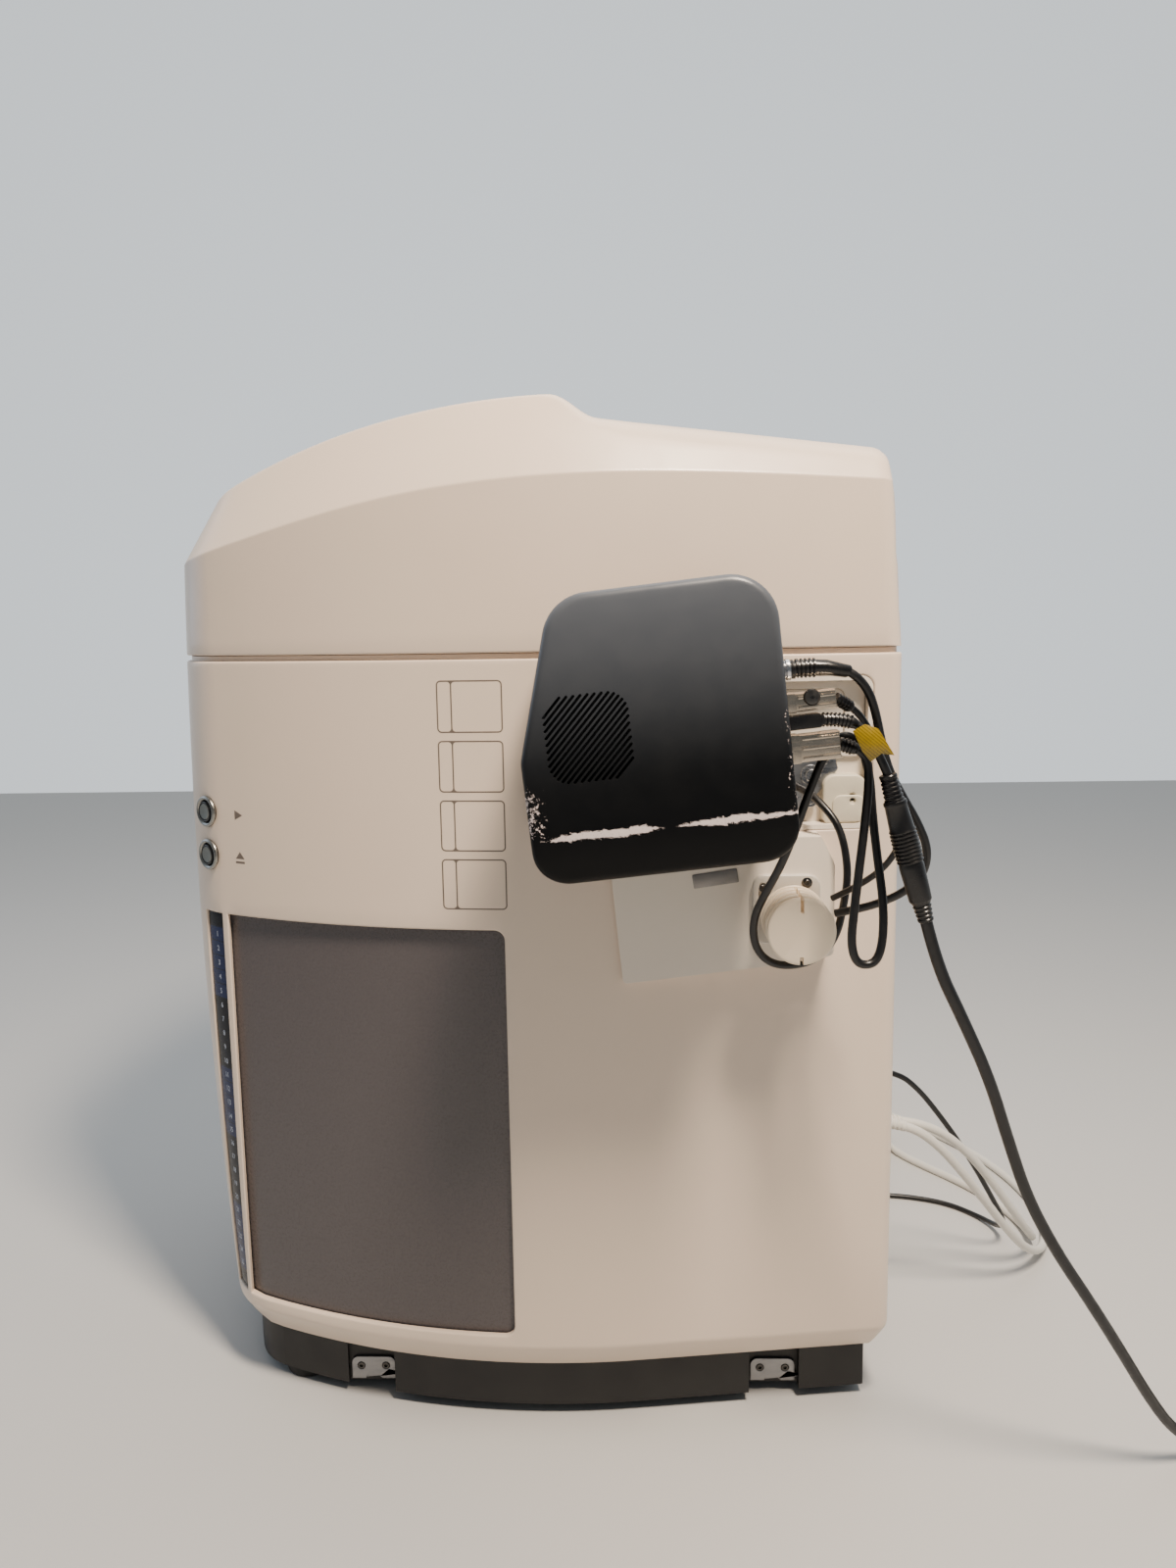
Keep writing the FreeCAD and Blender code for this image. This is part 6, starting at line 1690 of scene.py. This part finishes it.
def flat_connector():
    bm = bmesh.new()
    add_module_block(bm, (69.3, -10.4), (87.6, -2.6), 305.2, 316.9, 1.1)
    add_module_block(bm, (87, -9.4), (89.6, -3.6), 306.6, 315.4, 1.0)
    piece("flat_connector", settle(bm), GLOSS_BLACK, "jacket_black")


def flag_finish():
    """Mustard film with faint ruled lines along it."""
    finish = Finish("yellow_flag", (142, 118, 8), 0.24)
    ruled = finish.coordinate((0, 212, 485), math.radians(-40))["Z"]
    lines = finish.math("LESS_THAN", finish.math("FRACT", finish.math("DIVIDE", ruled, 1.5)), 0.4)
    finish.tint(finish.math("MULTIPLY", lines, 0.6), (80, 66, 8))
    finish.tint(finish.ranged(finish.noise(8, 4), 0.45, 0.8, 0, 0.2), (168, 142, 30))
    finish.vary_roughness(finish.noise(5, 3), 0.06)
    finish.bump(finish.noise(6, 3), 0.05)
    return finish.material


FLAG_FACE = 317.6
FLAG_OUTLINE = ((201.4, 491.8), (207.7, 495.5), (214.7, 493.2), (224.6, 478.0), (217.1, 479.2),
                (211.3, 474.9), (206.5, 480.5))


def flag():
    """Yellow marker folded round the power lead, its two ends cut to points."""
    loop = spread(list(reversed(FLAG_OUTLINE)), 1.6)
    bm = bmesh.new()
    add_sheet(bm, loop, [], lambda a, b, depth: Vector((FLAG_FACE - depth, a, b)), 0.35, 0.08, 1)
    for y in range(200, 226, 2):
        cut(bm, (0, y, 0), (0, 1, 0.4))
    for vert in bm.verts:
        vert.co.x += flag_bow(vert.co.y, vert.co.z)
    piece("marker_flag", settle(bm), flag_finish(), "plate_white", sharp=60)


def flag_bow(y, z):
    """How far the flag stands off: it bows over the lead and curls at its tail."""
    along = (y - 201) * 0.8 - (z - 492) * 0.6
    return 1.6 * math.sin(min(max(along / 22, 0), 1) * math.pi) - 1.2 * max(along - 20, 0) / 6


bay()
metal_hoods()
ring_connector()
lamp_house()
lamp_mount()
name_plate()
COUPLER = coupler()
flat_connector()
flag()


# ---- Underside and back: foot brackets, feet, fan guard, glands, plugs, hood hinges ----
BRACKET_FACE, BRACKET_HALF, SCREW_STEP, SCREW_LEVEL = 179, 16, 9, 20
HINGE_AXIS_Y, HINGE_PLACE, HINGE_LENGTH, KNUCKLE = 264.2, 110, 44, 4.5


def foot_brackets():
    plates, screws = bmesh.new(), bmesh.new()
    for middle in (-110, 179):
        low, high = middle - BRACKET_HALF, middle + BRACKET_HALF
        outline = [(low, 10), (middle - 6, 10), (middle - 5, 12), (middle + 5, 12), (middle + 6, 10),
                   (high, 10), (high, 27), (low, 27)]
        loop = rounded_loop(outline, [0.5, 0.5, 0.6, 0.6, 0.5, 0.5, 5, 5], 4)
        places = [middle + step for step in (-SCREW_STEP, SCREW_STEP)]
        holes = [circle((y, SCREW_LEVEL), 2.9, 20) for y in places]
        for side in (1, -1):
            one = bmesh.new()
            add_pad(one, loop, BRACKET_FACE, BRACKET_FACE + 2, 0.4, holes)
            for vert in one.verts:
                vert.co.x *= side
            merge(plates, settle(one))
            for y in places:
                socket_screw(screws, (side * (BRACKET_FACE - 0.2), y, SCREW_LEVEL), 2.7, 2.4, X * side)
    piece("foot_bracket_plates", plates, BRACKET_STEEL, "bare_steel", stands_for=("foot_brackets",))
    piece("foot_bracket_screws", settle(screws), DARK_METAL, "bare_steel", stands_for=("mounting_screws",))


def rubber_feet():
    bm = bmesh.new()
    for side_x in (-1, 1):
        for side_y in (-1, 1):
            add_turned(bm, [(0, 15.6), (0.4, 16.6), (1.4, 17.2), (5, 17.6), (6, 18), (8, 18)],
                       (side_x * 150, side_y * 165, 0), Z, 40)
    piece("rubber_feet_turned", settle(bm), RUBBER, "foot_rubber", stands_for=("rubber_feet",))


def fan_guard():
    """Wire guard in the fan's window: rings on two crossed wires."""
    bm = bmesh.new()
    centre = Vector((FAN_X, 257.2, FAN_LEVEL))
    for radius in (12, 18, 24, 30):
        add_wire_ring(bm, centre, radius, 0.7)
    for degrees in (45, 135):
        along = Vector((math.cos(math.radians(degrees)), 0, math.sin(math.radians(degrees))))
        add_turned(bm, [(0, 0.8), (71, 0.8)], centre - along * 35.5 + Vector((0, -0.9, 0)), along, 10)
    piece("fan_guard_wires", settle(bm), BRIGHT, "bright_metal")


RING_STEPS, WIRE_STEPS = 64, 10


def add_wire_ring(bm, centre, radius, wire):
    rings = []
    for step in range(RING_STEPS):
        angle = 2 * math.pi * step / RING_STEPS
        out = Vector((math.cos(angle), 0, math.sin(angle)))
        ring = []
        for part in range(WIRE_STEPS):
            turn = 2 * math.pi * part / WIRE_STEPS
            off = out * (radius + wire * math.cos(turn)) + Y * wire * math.sin(turn)
            ring.append(bm.verts.new(centre + off))
        rings.append(ring)
    join_all(bm, rings + rings[:1])


def glands():
    bm = bmesh.new()
    for x, z, radius in ((74, 160, 3.5), (92, 166, 3.5), (52, 192, 2.25)):
        foot = (x, REAR_REACH, z)
        add_turned(bm, [(0, 7), (2.2, 7), (2.4, 6.8)], foot, Y, 6)
        add_turned(bm, [(2.2, 5.6), (4.4, 5.6), (4.8, 6.2), (6, 6.2), (6.4, radius + 1.4)], foot, Y, 36)
    piece("lead_glands", settle(bm), BLACK, "base_black", stands_for=("rear_sockets",))


def line_plug(name, node, foot, direction, material, slot):
    """Moulded in-line connector: ribbed tail, waisted grip, shrouded mouth."""
    profile = [(0, 3.6), (0.5, 4.1), (2.5, 4.3), (3.2, 3.9), (4.2, 4.4), (5.5, 4.7), (6.2, 4.2), (7.2, 4.8),
               (8.6, 5.2), (9.3, 4.7), (10.3, 5.4), (13, 6.2), (15.5, 7.3), (17, 7.9), (20, 7.6), (24, 7.2),
               (29, 7.3), (33, 7.8), (35, 7.9), (37.4, 7.9), (38, 7.5), (38, 5.1), (43.4, 5.0), (44, 4.6),
               (44, 3.9), (39, 3.8)]
    return turned(name, profile, foot, direction, material, slot, 40, stands_for=(node,))


def floor_plug():
    profile = [(0, 4.1), (1, 4.6), (3, 5.0), (4, 4.5), (5.4, 5.4), (7, 5.8), (8, 5.2), (9.4, 6.2), (11, 6.8),
               (12.4, 7.6), (13.4, 10), (15, 12.4), (17, 12.9), (22, 12.6), (28, 12.2), (34, 12.4), (38, 12.9),
               (39.4, 12.8), (40, 12.2), (40, 9), (46.8, 8.9), (48, 8.3), (48, 7.2), (41, 7)]
    return turned("floor_lead_connector", profile, (204, 618.8, 13), -X, GLOSS_BLACK, "jacket_black", 48,
                  stands_for=("floor_lead_plug",))


def hood_hinges():
    """Pressed hinge leaves and rolled knuckles between the casing's back and the hood."""
    fixed, moving = bmesh.new(), bmesh.new()
    axis_y, level = HINGE_AXIS_Y, CASING_TOP + 2
    third = HINGE_LENGTH / 3
    knuckle = [(0, KNUCKLE - 0.4), (0.4, KNUCKLE), (third - 0.9, KNUCKLE), (third - 0.5, KNUCKLE - 0.4)]
    for side in (-1, 1):
        start = side * HINGE_PLACE - HINGE_LENGTH / 2
        add_block(fixed, (start, REAR_REACH, 497), (start + HINGE_LENGTH, REAR_REACH + 2.5, 526), 0.7)
        add_block(fixed, (start + third + 0.2, REAR_REACH + 0.1, 519),
                  (start + 2 * third - 0.2, axis_y, level), 0.6)
        add_turned(fixed, knuckle, (start + third + 0.25, axis_y, level), X, 30)
        for x in (start + 8, start + HINGE_LENGTH - 8):
            for z in (503, 513):
                add_turned(fixed, [(0, 3.4), (0.8, 3.3), (1.4, 2.2), (1.4, 0.9), (0.8, 0.8), (0.8, 0)],
                           (x, REAR_REACH + 2.3, z), Y, 22)
        for at in (start, start + 2 * third + 0.3):
            add_turned(moving, knuckle, (at, axis_y, level), X, 30)
            add_block(moving, (at + 0.2, REAR_REACH - 0.8, level), (at + third - 0.6, axis_y - 2.0, 541), 0.5)
        add_block(moving, (start + 0.2, REAR_REACH - 1.6, 538.7),
                  (start + HINGE_LENGTH - 0.2, axis_y - 2.0, 564.8), 0.5)
    piece("hood_hinge_leaves", settle(fixed), STEEL, "bare_steel", stands_for=("hood_hinges",))
    piece("hood_hinge_arms", settle(moving), STEEL, "bare_steel", body="lift_hood")


foot_brackets()
rubber_feet()
fan_guard()
glands()
hood_hinges()
PLUGS = {"floor": floor_plug()}
for number, foot in ((1, (-265.8, 331, 8)), (2, (-375.8, 331, 8))):
    PLUGS[f"white_{number}"] = line_plug(f"white_connector_{number}", f"white_plug_{number}", foot, -Y,
                                         JACKET_WHITE, "jacket_white")
PLUGS["black"] = line_plug("black_connector", "black_plug", (-108, 259.5, 8), -X, GLOSS_BLACK, "jacket_black")


# ---- Leads in place, with their boots and strain reliefs ----
# Name, route, diameter, far end, stiffness, pieces that it holds, start of its boot, boot's profile
HANGING = (
    ("detector", DETECTOR_ROUTE, 5, "object", "limp", (), [on_module(74.6, 22.3, 306)],
     [(0, 4.6), (0.4, 5.2)] + ribs(1.2, 14, 5.4, 4.5, 2.3)
     + [(14.6, 4.5), (20, 4.3), (32, 3.7), (33, 3.2), (33, 2.4)]),
    ("signal", SIGNAL_ROUTE, 4, "object", "limp", (), [],
     [(0.2, 3.4), (0.6, 3.7)] + ribs(1, 10, 3.7, 3.1, 2) + [(11, 3.0), (12, 2.1)]),
    ("slack", SLACK_ROUTE, 5, "object", "limp", (), [],
     [(0.3, 3.9), (0.8, 4.2)] + ribs(1.2, 9, 4.2, 3.5, 2) + [(10, 3.3), (11, 2.6)]),
    ("power", POWER_ROUTE, 5, "connector", "medium", [COUPLER], [],
     [(0.5, 3.6)] + ribs(1, 17, 4.0, 3.2, 2.1) + [(18, 3.1), (20, 2.6)]),
)
for name, route, diameter, far_end, stiffness, held, head, boot in HANGING:
    line = lead(f"{name}_cable", route, diameter, JACKET_BLACK,
                (f"{name}_lead",))
    sleeve(f"{name}_boot", head + line, boot, GLOSS_BLACK, "jacket_black")
lead("floor_cable", coiled(FLOOR_ROUTE, FLOOR_COIL, MAINS_TURNS, FLOOR_TAIL, 0, 1), MAINS, JACKET_BLACK,
     ("floor_lead", "floor_lead_coil"))
for number, route, centre in ((1, WHITE_ROUTE_1, WHITE_COIL_1), (2, WHITE_ROUTE_2, WHITE_COIL_2)):
    line = lead(f"white_cable_{number}", coiled(route, centre, MAINS_TURNS, WHITE_TAIL, 90, 1), MAINS,
                JACKET_WHITE,
                (f"white_lead_{number}", f"white_coil_{number}"))
    sleeve(f"white_relief_{number}", line, relief_profile(28, 5.6, 4.0, 7), JACKET_WHITE, "jacket_white", -9.0)
line = lead("black_cable", coiled(BLACK_ROUTE, BLACK_COIL, DATA_TURNS, DATA_TAIL, 0, -1), DATA, JACKET_BLACK,
            ("black_lead", "black_coil"))
sleeve("black_relief", line, relief_profile(22, 4.3, 2.7, 6), GLOSS_BLACK, "jacket_black", -9.0)


# ---- Studio ----------------------------------------------
# Strength of the surroundings, in front of the camera and behind it, and half the floor's width
WALL_LIGHT, ROOM_LIGHT, FLOOR_REACH = 1.3, 0.24, 3000
# Name, place, target and size in metres, power in watts, colour
LIGHTS = [
    ("ceiling", (0.85, 0.45, 1.75), (0.15, 0.0, 0.35), (0.22, 0.4), 56, (255, 236, 214)),
    ("window", (-0.3, -1.9, 1.1), (0.0, 0, 0.4), (1.2, 1.2), 6, (206, 226, 255)),
    ("overhead", (-0.3, 0.2, 1.9), (0.0, 0, 0.4), (1.0, 1.0), 6, (255, 250, 244)),
]


def studio():
    floor = bmesh.new()
    bmesh.ops.create_grid(floor, x_segments=1, y_segments=1, size=FLOOR_REACH * MM)
    mesh = bpy.data.meshes.new("studio_floor")
    floor.to_mesh(mesh)
    floor.free()
    made = in_scene("studio_floor", mesh)
    mesh.materials.append(Finish("studio_floor", (196, 196, 195), 0.6).material)
    world = bpy.data.worlds.new("studio")
    world.use_nodes = True
    tree = world.node_tree
    towards = add_node(tree, "ShaderNodeTexCoord").outputs["Generated"]
    facing = add_node(tree, "ShaderNodeSeparateXYZ", {"Vector": towards}).outputs["X"]
    wall = add_node(tree, "ShaderNodeMapRange", {"Value": facing, "From Min": -1, "From Max": 0.4,
                                                 "To Min": WALL_LIGHT, "To Max": ROOM_LIGHT})
    feed(tree.nodes["Background"], {"Color": linear(224, 230, 234), "Strength": wall.outputs["Result"]})
    bpy.context.scene.world = world
    for name, place, target, size, power, colour in LIGHTS:
        data = bpy.data.lights.new(name, "AREA")
        data.shape = "RECTANGLE"
        data.size, data.size_y = size
        data.energy = power
        data.color = linear(*colour)[:3]
        light = in_scene(name, data)
        place, target = Vector(place), Vector(target)
        light.matrix_world = Matrix.Translation(place) @ frame_to(place - target).to_4x4()


studio()
